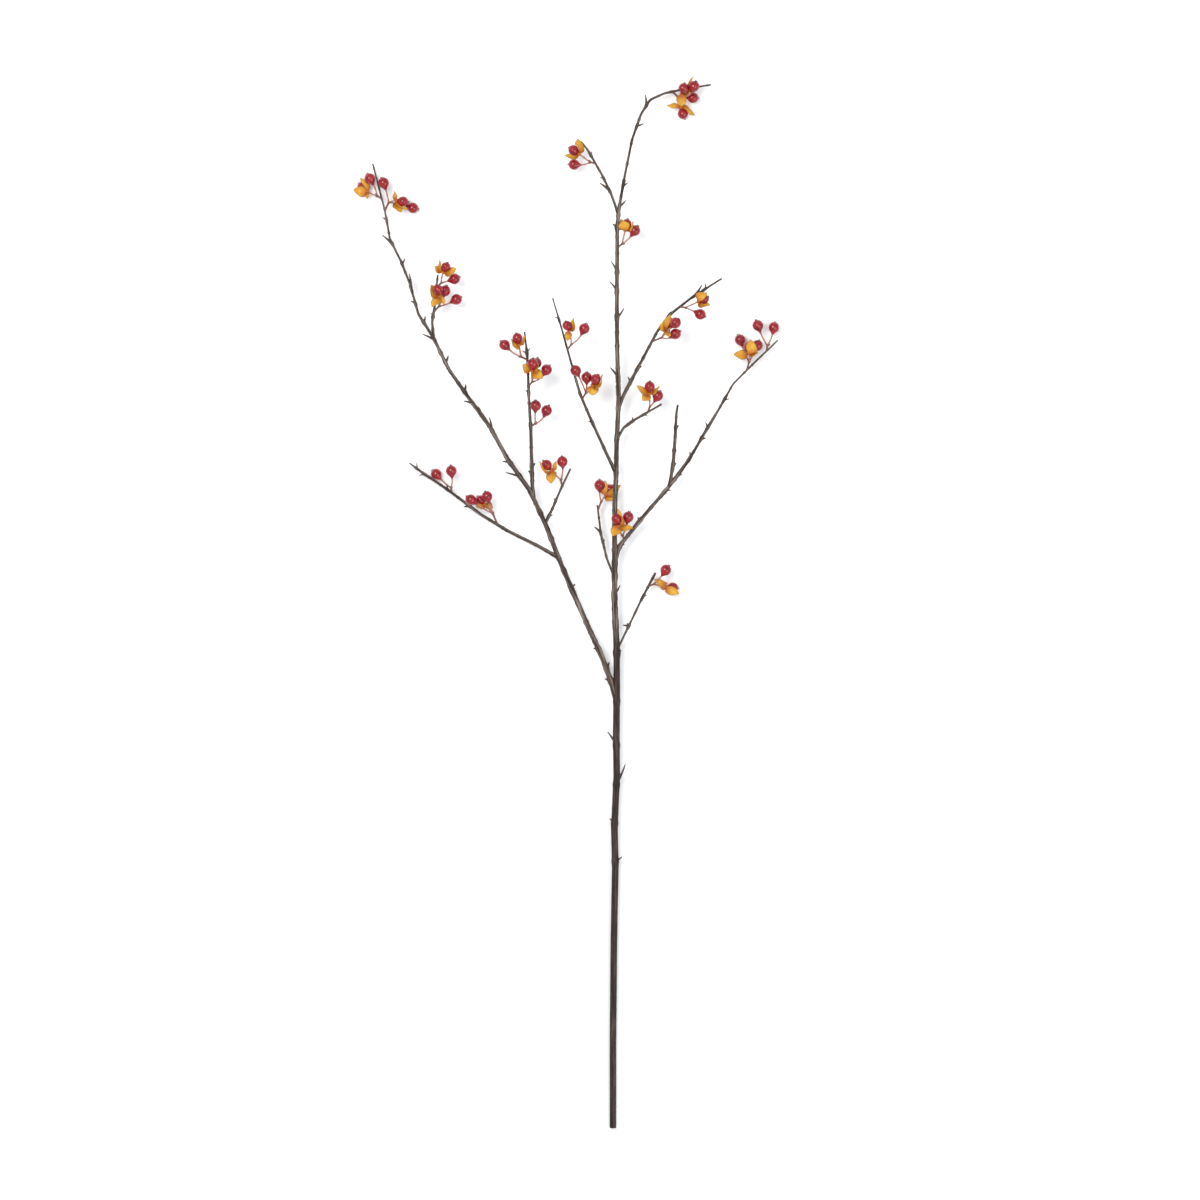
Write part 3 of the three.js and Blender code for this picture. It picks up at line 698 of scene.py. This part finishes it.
def stalkFinish(name):
    graph = finishGraph(name)
    tone = graph.fact("tone")
    grain = graph.lengthwise(*stalkLooks["grain"])
    colour = graph.blend(graph.span(tone + grain * 0.3, 0.25, 0.6), stalkLooks["shoot"], stalkLooks["stalk"])
    colour = graph.blend(graph.span(tone + grain * 0.12, 0.9, 1.08), colour, stalkLooks["byBerry"])
    colour = graph.blend(1.0, colour, graph.ramp(stalkLooks["shade"], grain), "MULTIPLY")
    return closeFinish(graph, {"Base Color": colour, "Roughness": 0.42 + grain * 0.3,
                        "Normal": graph.bump(0.35, stalkLooks["depth"], grain)})


berryLooks = {
    "skin": (0.27, 0.005, 0.012),
    "deep": (0.12, 0.002, 0.006),
    "blush": (0.39, 0.016, 0.022),
    "crown": (0.11, 0.02, 0.012),
    "mottle": 260.0,
    "pores": 1400.0,
    "depth": 0.1 * mm,
}


def berryFinish(name):
    graph = finishGraph(name)
    place, height = graph.place(), graph.fact("height")  # height 1 at the crown, -1 below
    mottle = graph.noise(place, berryLooks["mottle"], 3.0, 0.55)
    pores = graph.noise(place, berryLooks["pores"])
    colour = graph.blend(graph.span(mottle, 0.25, 0.6), berryLooks["deep"], berryLooks["skin"])
    colour = graph.blend(graph.span(mottle + pores * 0.25, 0.7, 0.86), colour, berryLooks["blush"])
    ends = graph.span(height, 0.9, 1.06) + (1 - graph.span(height, -1.5, -1.05)) * 0.7
    return closeFinish(graph, {
        "Base Color": graph.blend(ends, colour, berryLooks["crown"]),
        "Roughness": 0.14 + mottle * 0.12 + graph.span(height, 0.95, 1.1) * 0.25,
        "Normal": graph.bump(0.12, berryLooks["depth"], mottle + pores * 0.2),
        "Coat Weight": 0.25, "Coat Roughness": 0.05, "Specular IOR Level": 0.35})


huskLooks = {
    "face": (0.52, 0.225, 0.014),
    "pale": (0.64, 0.355, 0.035),
    "base": (0.39, 0.105, 0.01),
    "rim": (0.11, 0.075, 0.014),
    "veins": (2600.0, 240.0, 900.0),
    "blotch": 230.0,
    "depth": 0.2 * mm,
}


def huskFinish(name):
    graph = finishGraph(name)
    edge = graph.fact("edge")  # 0 in the middle of a petal, 1 at its rim and tip
    root = graph.fact("root")  # 1 at the husk's base, 0 at a petal's tip
    rib = graph.fact("rib", "Vector")  # across and along a petal
    veins = graph.noise(graph.vector("MULTIPLY", rib, huskLooks["veins"]), 1.0, 3.0, 0.6)
    blotch = graph.noise(graph.place(), huskLooks["blotch"], 3.0, 0.6)
    colour = graph.blend(graph.span(blotch + veins * 0.35, 0.5, 0.9), huskLooks["face"], huskLooks["pale"])
    colour = graph.blend(graph.span(root + blotch * 0.3, 0.6, 1.15), colour, huskLooks["base"])
    dark = graph.span(edge + veins * 0.22 + blotch * 0.25, 0.92, 1.25)
    return closeFinish(graph, {
        "Base Color": graph.blend(dark * 0.8, colour, huskLooks["rim"]), "Roughness": 0.5 + veins * 0.25,
        "Normal": graph.bump(0.6, huskLooks["depth"], veins + blotch * 0.5), "Specular IOR Level": 0.35})


cutLooks = {
    "sides": 32, "rings": 9, "inset": 0.3 * mm,
    "plug": 1.6,  # how deep the face's rim goes into the stem, in insets
    "dish": 0.12,  # how deep its rings lie, in insets
    "pale": (0.3, 0.2, 0.12), "dark": (0.11, 0.062, 0.035),
    "growth": 34.0, "waver": 420.0, "grain": 2600.0, "depth": 0.1 * mm,
}


def cutFinish(name):
    graph = finishGraph(name)
    place = graph.place()
    # 0 in the middle of the face, 1 at its rim
    out = graph.fact("out") + (graph.noise(place, cutLooks["waver"]) - 0.5) * 0.12
    rings = graph.math("SINE", out * cutLooks["growth"]) * 0.5 + 0.5
    grain = graph.noise(place, cutLooks["grain"])
    colour = graph.blend(rings * 0.5 + grain * 0.4, cutLooks["pale"], cutLooks["dark"])
    return closeFinish(graph, {
        "Base Color": graph.blend(graph.span(out, 0.86, 0.98), colour, stalkLooks["shoot"]),
        "Roughness": 0.75 + grain * 0.2, "Normal": graph.bump(0.5, cutLooks["depth"], rings + grain)})


smoothBark = barkFinish("smoothBark", barkLooks["rough"])
limbBark = barkFinish("limbBark", barkLooks["rough"])
twigBark = barkFinish("twigBark", barkLooks["twig"])
stalkSkin = stalkFinish("stalkSkin")
berrySkin = berryFinish("berrySkin")
huskSkin = huskFinish("huskSkin")
cutWood = cutFinish("cutWood")
print("finishes made")

branch = branchTree()
thickLimbs = {"main_stem": smoothBark, "left_limb": limbBark, "right_limb": limbBark}
for node in woodNodes:
    piece = growLimb(node, branch, thickLimbs.get(node, twigBark))
    handOver(piece, node)


def growCutFace():
    # the cut end of the stem: a shallow plug with growth rings
    limb = limbs["main_stem"]
    middle, girth = limb["line"][0], limb["girths"][0] * limbGrowth["fullness"]["main_stem"][0]
    mesh = bmesh.new()
    layer = mesh.verts.layers.float.new("out")
    rows = []
    for j in range(cutLooks["rings"]):
        share = 1 - j / cutLooks["rings"]
        row = []
        for i in range(cutLooks["sides"]):
            turn = math.tau * i / cutLooks["sides"]
            dish = cutLooks["dish"] + cutLooks["dish"] * noise.noise(Vector((3 * turn, j, 0)))
            depth = cutLooks["inset"] * (cutLooks["plug"] if j == 0 else dish)
            reach = girth * share * (0.99 if j == 0 else 1.03)
            vertex = mesh.verts.new(middle + Vector((math.cos(turn) * reach, depth, math.sin(turn) * reach)))
            vertex[layer] = share
            row.append(vertex)
        rows.append(row)
    for one, two in zip(rows, rows[1:]):
        for i, vertex in enumerate(one):
            following = (i + 1) % len(one)
            mesh.faces.new((vertex, one[following], two[following], two[i]))
    mesh.faces.new(rows[-1])
    mesh.faces.new(rows[0][::-1])
    keepMesh(mesh, "cutFace", cutWood, "main_stem")


growCutFace()
print("limbs grown")


# Berries: each CAD berry ends in a point whose facets are all one length, which gives its
# size, its axis and its middle

berrySizes = {
    "crownRise": 1.08,  # from a berry's middle to its crown point, in radii
    "crownEdge": 0.9502,  # length of the edges that meet in that point, in radii
    "crownSides": 7,
    "edgeMatch": 0.02,
    "stalkFrom": 1.62,  # from a berry's middle back to clear stalk, in radii
    "stalkGirth": 0.62 * mm,
    "stalkStride": 0.4 * mm,
    "meeting": 1.1 * mm,  # stalks nearer than this have met
    "segments": 30, "rows": 26, "plump": 1.06, "dimples": 0.03, "lumps": 240.0,
    "neck": ((0.27, 0.44), (0.6, 0.12)),  # (width, height) of the hills that draw a neck out
    "dent": ((0.2, 0.13), (0.34, -0.05)),  # and of those that dent the crown
    "calyxTips": 5, "calyxRing": 0.17, "calyxRise": 0.9, "tipGirth": 0.13, "tipLength": 0.38,
    "tipUneven": (0.45, 1.15),
}


def measureBerries(mesh):
    berries = []
    for vertex in mesh.verts:
        lengths = [e.calc_length() for e in vertex.link_edges]
        if len(lengths) != berrySizes["crownSides"]:
            continue
        usual = sorted(lengths)[len(lengths) // 2]
        if all(abs(length / usual - 1) < berrySizes["edgeMatch"] for length in lengths):
            ring = average([e.other_vert(vertex).co for e in vertex.link_edges])
            axis = (vertex.co - ring).normalized()
            radius = usual / berrySizes["crownEdge"]
            berries.append({"at": vertex.co - axis * radius * berrySizes["crownRise"], "axis": axis,
                            "radius": radius})
    return berries


def measureSpray(node):
    # the stalks are walked down from each berry's neck until they meet, which is the fork
    sizes = berrySizes
    mesh = nodeMesh(node)
    tree = BVHTree.FromBMesh(mesh)
    spots = [v.co.copy() for v in mesh.verts]
    berries = measureBerries(mesh)
    mesh.free()
    walks = []
    for berry in berries:
        start = berry["at"] - berry["axis"] * berry["radius"] * sizes["stalkFrom"]
        walk = walkTube(tree, start, -berry["axis"], sizes["stalkGirth"], sizes["stalkStride"])
        walks.append([start] + [place for place, _ in walk])
    meetings = []
    for i, walk in enumerate(walks):
        others = [w for j, w in enumerate(walks) if j != i and len(w) > 1]
        for place in walk:
            gap, spot, _ = min((nearestOn(w, place) for w in others), key=lambda found: found[0])
            if gap < sizes["meeting"]:
                meetings.append(place.lerp(spot, 0.5))
                break
    fork = average(meetings or [walk[-1] for walk in walks])
    # the shoot runs from the fork to the limb that the spray's own mesh comes closest to
    feet = []
    for limb in limbs.values():
        near = min(spots, key=lambda spot: nearestOn(limb["line"], spot)[0])
        feet.append(nearestOn(limb["line"], near))
    return {"berries": berries, "fork": fork, "foot": min(feet, key=lambda found: found[0])[1]}


sprays = {node: measureSpray(node) for node in sprayNodes}
print("berries measured:", sum(len(spray["berries"]) for spray in sprays.values()))


def berryTree():
    # a round berry drawn out to a neck, with a dented crown and a few calyx tips round it
    sizes = berrySizes
    tree, graph, source = growingTree("berry", Dimples="Float")
    ball = graph.add("GeometryNodeMeshUVSphere", None, {
        "Segments": sizes["segments"], "Rings": sizes["rows"], "Radius": 1.0})
    parts = graph.parts(graph.spot())
    flat = graph.xyz(X=parts.out("X"), Y=parts.out("Y"))
    out = graph.add("ShaderNodeVectorMath", {"operation": "LENGTH"}, {0: flat}, out="Value")
    below = graph.math("LESS_THAN", parts.out("Z"))

    def hills(pairs):
        steep, gentle = [graph.math("POWER", math.e, 0 - (out / width) * (out / width)) * height
                         for width, height in pairs]
        return steep + gentle

    rise = 0 - below * hills(sizes["neck"]) - (1 - below) * hills(sizes["dent"])
    ball = graph.moved(ball, graph.xyz(Z=rise))
    ring = graph.add("GeometryNodeMeshCircle", None, {
        "Vertices": sizes["calyxTips"], "Radius": sizes["calyxRing"]})
    ring = graph.moved(ring, (0.0, 0.0, sizes["calyxRise"]))
    tip = graph.add("GeometryNodeMeshCone", None, {
        "Vertices": 5, "Side Segments": 2, "Radius Top": 0.0, "Radius Bottom": sizes["tipGirth"],
        "Depth": sizes["tipLength"]})
    turn = graph.turned(graph.vector("ADD", graph.scaled(graph.spot(), 1.4), (0.0, 0.0, 0.6)))
    least, most = sizes["tipUneven"]
    uneven = graph.add("FunctionNodeRandomValue", {"data_type": "FLOAT"}, {
        2: least, 3: most, "Seed": 5}, out=1)
    whole = graph.joined(ball, graph.planted(ring, tip, turn, uneven))
    whole = graph.stored(whole, "height", graph.parts(graph.spot()).out("Z"))

    spin = graph.add("FunctionNodeAxisAngleToRotation", None, {
        "Axis": (0.0, 0.0, 1.0), "Angle": graph.attribute("spin")})
    turn = graph.add("FunctionNodeRotateRotation", {"rotation_space": "LOCAL"}, {
        "Rotation": graph.turned(graph.attribute("lean", "FLOAT_VECTOR")), "Rotate By": spin})
    whole = graph.planted(source.out("Geometry"), whole, turn, graph.attribute("girth"))
    # each berry is a little uneven in its own way
    lumps = graph.noise(graph.spot(), sizes["lumps"], 1.0) - 0.5
    whole = graph.pushed(whole, lumps * source.out("Dimples") * graph.attribute("girth") * 2.0)
    finishTree(graph, whole, source)
    return tree


def bezier(start, bend, end, count):
    shares = [i / count for i in range(count + 1)]
    return [start * (1 - t) ** 2 + bend * 2 * t * (1 - t) + end * t ** 2 for t in shares]


spraySizes = {
    "stride": 0.7 * mm, "sides": 12, "bark": 0.25,
    "shootSteps": 8,
    "shootGirth": 1.15 * mm,
    "shootWaist": (1.15, 0.3),  # girth at its ends, and how much less it is half way
    "pastFork": 0.6 * mm,
    "stalkSteps": 16,
    "stalkGirth": 0.74 * mm,
    "stalkFoot": (0.3 * mm, 1.5),  # extra girth at the fork, and steps in which it fades
    "stalkFlare": 0.55 * mm,  # how much a stalk widens into the berry's neck
    "joint": 0.22 * mm,  # a small joint part of the way up, its place and its reach
    "jointAt": (0.3, 0.55),
    "jointReach": 0.05,
    "neck": 1.34,  # from a berry's middle back to where its stalk starts, in radii
    "sunk": 0.12,  # how far a stalk goes into that neck, in radii
    "bend": 0.45,  # how far before the neck a stalk turns, as a share of the way
    "budOn": (0.8, 1.3), "budOut": (0.3, 0.9), "budReach": (2.8, 4.8), "budGirth": 1.0 * mm,
    "budBack": 0.8 * mm,  # from the fork back to its two buds
}


def growSpray(node, stalkTree, fruitTree):
    spray, sizes = sprays[node], spraySizes
    rng = random.Random(node)
    fork, foot = spray["fork"], spray["foot"]
    name = camel(node.replace("_spray", ""))
    rise = (fork - foot).normalized()
    ends, waist = sizes["shootWaist"]
    shares = [i / sizes["shootSteps"] for i in range(sizes["shootSteps"] + 1)]
    lines = [[{"at": foot.lerp(fork + rise * sizes["pastFork"], share), "tone": 0.12 * share, "rough": 0.8,
               "girth": sizes["shootGirth"] * (ends - waist * math.sin(math.pi * share))}
              for share in shares]]
    buds, fruit, count = [], [], sizes["stalkSteps"]
    footGirth, fade = sizes["stalkFoot"]
    for berry in spray["berries"]:
        radius, axis = berry["radius"], berry["axis"]
        neck = berry["at"] - axis * radius * sizes["neck"]
        bend = neck - axis * sizes["bend"] * (neck - fork).length
        path = bezier(fork, bend, neck + axis * sizes["sunk"] * radius, count)
        joint = rng.uniform(*sizes["jointAt"])
        lines.append([{"at": spot, "tone": 0.2 + 0.8 * i / count, "rough": 0.5,
                       "girth": sizes["stalkGirth"] + sizes["stalkFlare"] * (i / count) ** 6
                       + sizes["joint"] * hump(i / count - joint, sizes["jointReach"])
                       + footGirth * math.exp(-i / fade)}
                      for i, spot in enumerate(path)])
        fruit.append({"at": berry["at"], "girth": radius * berrySizes["plump"], "lean": axis,
                      "spin": rng.uniform(0, math.tau)})
    for side in (1, -1):
        out = rise.cross(Vector((0, 0, 1))).normalized() * side
        lean = (rise * rng.uniform(*sizes["budOn"]) + out * rng.uniform(*sizes["budOut"])).normalized()
        buds.append({"at": fork - rise * sizes["budBack"], "lean": lean,
                     "reach": rng.uniform(*sizes["budReach"]) * mm, "girth": sizes["budGirth"],
                     "isSpur": 1.0, "rough": limbGrowth["spurRough"]})
    stalks = grow(name + "Stalks", seedMesh(name + "StalkSeed", lines, buds, branchFacts), stalkTree, {
        "Stride": sizes["stride"], "Sides": sizes["sides"], "Bark": sizes["bark"],
        "Seed": rng.uniform(0, 3), "Finish": stalkSkin})
    facts = {"girth": mm, "lean": Vector((0, 0, 1)), "spin": 0.0}
    berries = grow(name + "Berries", seedMesh(name + "BerrySeed", [], fruit, facts), fruitTree, {
        "Dimples": berrySizes["dimples"], "Finish": berrySkin})
    handOver(berries, node)
    handOver(stalks, node)


fruit = berryTree()
for node in sprayNodes:
    growSpray(node, branch, fruit)
print("sprays grown")


# Husks: a cup behind a berry, split into two or three curled petals

huskSizes = {
    "seat": 1.5,  # from the berry's middle back to the husk's base, in berry radii
    "petalFoot": 1.2 * mm,  # from the middle of the base to where a petal starts
    "petalRoom": 0.9 * mm,  # clear space between a petal and its berry
    "solidPetal": 0.9 * mm,  # how thick the CAD petals are
    "tipSpread": 2.25 * mm,  # points nearer than this, and no further in than
    "tipDepth": 1.3 * mm,  # this, belong to one petal's tip
    "tipGap": 7.9 * mm,  # no two petals' tips are nearer than this
    "leastPetal": 5.5 * mm,  # a petal reaches further than this from the base
    "widest": (0.25, 0.8),  # the part of its length where a petal's width is measured
    "usualWidth": 5 * mm,
    "outline": 0.95,  # share of a petal's width there
    "facing": 0.55,  # how far a petal's face is turned up, or down, from its berry
    "overBerry": -0.5,  # a petal that faces down more than this lies over its berry
    "widen": 1.34,
    "clear": 0.5 * mm,
    "hug": 0.5 * mm,  # least gap from the middle of a petal to a berry's skin
    "fullness": 0.5, "curl": 0.3, "leastBulge": 0.12,
    "thick": 0.5 * mm, "thin": 0.18 * mm, "ruffle": 0.55 * mm, "tipCurl": 1.1 * mm,
    "ribDepth": 0.32 * mm, "ribWidth": 0.16, "lumps": 0.25 * mm,
    "across": 14, "along": 20,
    "cup": (2.3, 2.3, 1.7),  # half its width, depth and height, in millimetres
    "cupLumps": 0.18,
}


def measureHusk(node):
    sizes = huskSizes
    mesh = nodeMesh(node)
    tree = BVHTree.FromBMesh(mesh)
    owner = next(name for name in sprayNodes if node.startswith(name.replace("_spray", "_husk")))

    def seatOf(berry):
        return berry["at"] - berry["axis"] * berry["radius"] * sizes["seat"]

    berry = min(sprays[owner]["berries"], key=lambda b: tree.find_nearest(seatOf(b))[3])
    seat = seatOf(berry)
    reach = {v: (v.co - seat).length for v in mesh.verts}
    peaks = [v for v in mesh.verts if reach[v] > sizes["leastPetal"]
             and all(reach[e.other_vert(v)] <= reach[v] for e in v.link_edges)]
    tips = []
    for vertex in sorted(peaks, key=lambda v: -reach[v]):
        if all((vertex.co - tip).length > sizes["tipGap"] for tip in tips):
            tips.append(vertex.co.copy())
    petals = []
    for tip in tips:
        tip = average([v.co for v in mesh.verts if (v.co - tip).length < sizes["tipSpread"]
                       and reach[v] > (tip - seat).length - sizes["tipDepth"]])
        outward = tip - berry["at"]
        outward = (outward - berry["axis"] * outward.dot(berry["axis"])).normalized()
        petals.append({"start": seat + outward * sizes["petalFoot"], "tip": tip})
    low, high = sizes["widest"]
    for petal in petals:
        start, chord = petal["start"], petal["tip"] - petal["start"]
        along = chord.normalized()
        inward = berry["at"] - (start + petal["tip"]) / 2
        inward = (inward - along * inward.dot(along)).normalized()
        up = Vector((0, 0, 1 if inward.z > sizes["overBerry"] else -1))
        up = (up - along * up.dot(along)).normalized()
        face = inward.lerp(up, sizes["facing"]).normalized()
        across = along.cross(inward)
        sides = []
        for vertex in mesh.verts:
            share = (vertex.co - start).dot(along) / chord.length
            least = min(nearestOn([p["start"], p["tip"]], vertex.co)[0] for p in petals)
            own = nearestOn([start, petal["tip"]], vertex.co)[0]
            if low < share < high and own <= least + 1e-9:
                sides.append((vertex.co - start).dot(across))
        width = (max(sides) - min(sides)) / sizes["outline"] if len(sides) > 1 else sizes["usualWidth"]
        closest = nearestOn([start, petal["tip"]], berry["at"])[0]
        room = berry["radius"] + sizes["solidPetal"] / 2 + sizes["petalRoom"] - closest
        petal.update(chord=chord, inward=inward, face=face, across=along.cross(face), width=width,
                     bulge=max(sizes["leastBulge"] * chord.length, room))
    mesh.free()
    return {"axis": berry["axis"], "seat": seat, "petals": petals, "nearby": sprays[owner]["berries"]}


def clearOf(berries, spot):
    # a spot that is too near a berry is moved straight out of it
    for berry in berries:
        away, least = spot - berry["at"], berry["radius"] * berrySizes["plump"] + huskSizes["hug"]
        if away.length < least:
            spot = berry["at"] + away.normalized() * least
    return spot


def petalMesh(mesh, layers, husk, petal, rng):
    # a two-sided petal: thickest at its foot, ribbed down its middle and ruffled at its edges
    sizes = huskSizes
    rib, edge, root = layers
    phase, twist = rng.uniform(0, 9), rng.uniform(-0.5, 0.5)
    lip = rng.uniform(0.6, 1.3)
    rows = []
    for j in range(sizes["along"] + 1):
        v = j / sizes["along"]
        swell = math.sin(math.pi * v)
        outline = math.sin(math.pi * (0.24 + 0.75 * v)) ** 0.8
        uneven = 1 + 0.06 * noise.noise(Vector((phase, 7 * v, 0)))
        half = petal["width"] / 2 * sizes["widen"] * outline * uneven
        bow = (petal["bulge"] + sizes["clear"]) * math.sin(math.pi * v ** sizes["fullness"])
        bow += sizes["tipCurl"] * lip * v ** 4
        ribDepth = sizes["ribDepth"] * math.sin(math.pi * min(1, v * 1.15))
        row = []
        for i in range(sizes["across"] + 1):
            u = 2 * i / sizes["across"] - 1
            ruffle = sizes["ruffle"] * abs(u) ** 3 * math.sin(phase + 8 * v + 2 * u) * swell
            trough = (sizes["curl"] * half * u * u + ruffle - twist * half * u * v
                      - ribDepth * hump(u, sizes["ribWidth"]))
            middle = (petal["start"] + petal["chord"] * v + petal["across"] * u * half
                      - petal["inward"] * bow + petal["face"] * trough)
            middle += petal["face"] * sizes["lumps"] * noise.noise(middle * 420 + Vector((phase, 0, 0)))
            middle = clearOf(husk["nearby"], middle)
            thin = max(abs(u) ** 2, v ** 3)
            thickness = sizes["thick"] * (1 - thin) + sizes["thin"] * thin
            pair = []
            for side in (1, -1):
                vertex = mesh.verts.new(middle + petal["face"] * side * thickness / 2)
                vertex[rib] = Vector((u * half, v * petal["chord"].length, 0))
                vertex[edge] = max(abs(u) ** 1.6, v ** 2.6)
                vertex[root] = 1 - v
                pair.append(vertex)
            row.append(pair)
        rows.append(row)
    for lower, upper in zip(rows, rows[1:]):
        for a, b, c, d in zip(lower, lower[1:], upper[1:], upper):
            mesh.faces.new((a[0], b[0], c[0], d[0]))
            mesh.faces.new((d[1], c[1], b[1], a[1]))
    rim = [row[0] for row in rows] + rows[-1][1:] + [row[-1] for row in rows[-2::-1]] + rows[0][-2:0:-1]
    for one, two in zip(rim, rim[1:] + rim[:1]):
        mesh.faces.new((one[0], one[1], two[1], two[0]))


def growHusk(node):
    husk = measureHusk(node)
    rng = random.Random(node)
    mesh = bmesh.new()
    rib = mesh.verts.layers.float_vector.new("rib")
    layers = (rib, mesh.verts.layers.float.new("edge"), mesh.verts.layers.float.new("root"))
    for petal in husk["petals"]:
        petalMesh(mesh, layers, husk, petal, rng)
    # the base is a small lumpy cup round the stalk
    cup = bmesh.ops.create_icosphere(mesh, subdivisions=3, radius=1)["verts"]
    turn = husk["axis"].to_track_quat("Z", "Y")
    wide, deep, tall = huskSizes["cup"]
    for vertex in cup:
        spot = vertex.co.copy()
        lumps = 1 + huskSizes["cupLumps"] * noise.noise(spot * 2.2 + husk["seat"] * 900)
        spread = Vector((spot.x * wide, spot.y * deep, spot.z * tall + 0.2))
        vertex.co = husk["seat"] + turn @ spread * mm * lumps
        vertex[layers[2]] = 1.25
        vertex[layers[1]] = 0.25 + 0.3 * max(0, -spot.z)
    keepMesh(mesh, camel(node), huskSkin, node)
    return len(husk["petals"])


petals = [growHusk(node) for node in huskNodes]
print("husks grown:", len(petals), "with petals:", petals)


# The floor, the lights and the camera

studio = {
    "floor": 14.0,
    "floorColour": (0.93, 0.93, 0.925),
    "sky": (0.94, 0.96, 1.0),
    "skyLight": 0.8,
    "lights": {  # where it hangs, what it is aimed at, its size, its watts and its colour
        "keyLight": ((-1.1, 1.0, 3.0), (0, 0.1, 0), 1.4, 64, (1.0, 0.985, 0.96)),
        "fillLight": ((1.8, -0.9, 2.4), (0, 0, 0), 2.6, 46, (0.97, 0.985, 1.0)),
    },
    "view": 1.26,  # width of floor that the camera sees
    "cameraHeight": 12.0,
    "sensor": 36.0,
    "aim": (0.0795, 0.0023),  # from the middle of the CAD's box, as a share of its width and length
}


def layFloor():
    finish = closeFinish(finishGraph("paleFloor"), {
        "Base Color": (*studio["floorColour"], 1), "Roughness": 0.9, "Specular IOR Level": 0.1})
    half = studio["floor"] / 2
    corners = [(x * half, y * half, 0) for x, y in ((-1, -1), (1, -1), (1, 1), (-1, 1))]
    data = bpy.data.meshes.new("floor")
    data.from_pydata(corners, [], [(0, 1, 2, 3)])
    data.materials.append(finish)
    placed("floor", data)


def lightStudio():
    world = bpy.data.worlds.new("studio")
    world.use_nodes = True
    back = world.node_tree.nodes["Background"]
    back.inputs["Color"].default_value = (*studio["sky"], 1)
    back.inputs["Strength"].default_value = studio["skyLight"]
    bpy.context.scene.world = world
    for name, (spot, aim, size, power, colour) in studio["lights"].items():
        lamp = bpy.data.lights.new(name, "AREA")
        lamp.shape = "DISK"
        lamp.size, lamp.energy, lamp.color = size, power, colour
        light = placed(name, lamp)
        light.location = spot
        light.rotation_euler = (Vector(aim) - Vector(spot)).to_track_quat("-Z", "Y").to_euler()
    bpy.context.scene.view_settings.view_transform = "Standard"


def setCamera():
    low, high = Vector(cadBounds[0]), Vector(cadBounds[1])
    middle, size = (low + high) / 2, high - low
    lens = bpy.data.cameras.new("camera")
    lens.sensor_width = studio["sensor"]
    lens.lens = studio["sensor"] * studio["cameraHeight"] / studio["view"]
    lens.clip_end = 100
    camera = placed("camera", lens)
    aside, ahead = studio["aim"]
    camera.location = (middle.x + size.x * aside, middle.y + size.y * ahead, studio["cameraHeight"])
    bpy.context.scene.camera = camera


layFloor()
lightStudio()
setCamera()
print("studio set")

bpy.context.view_layer.update()
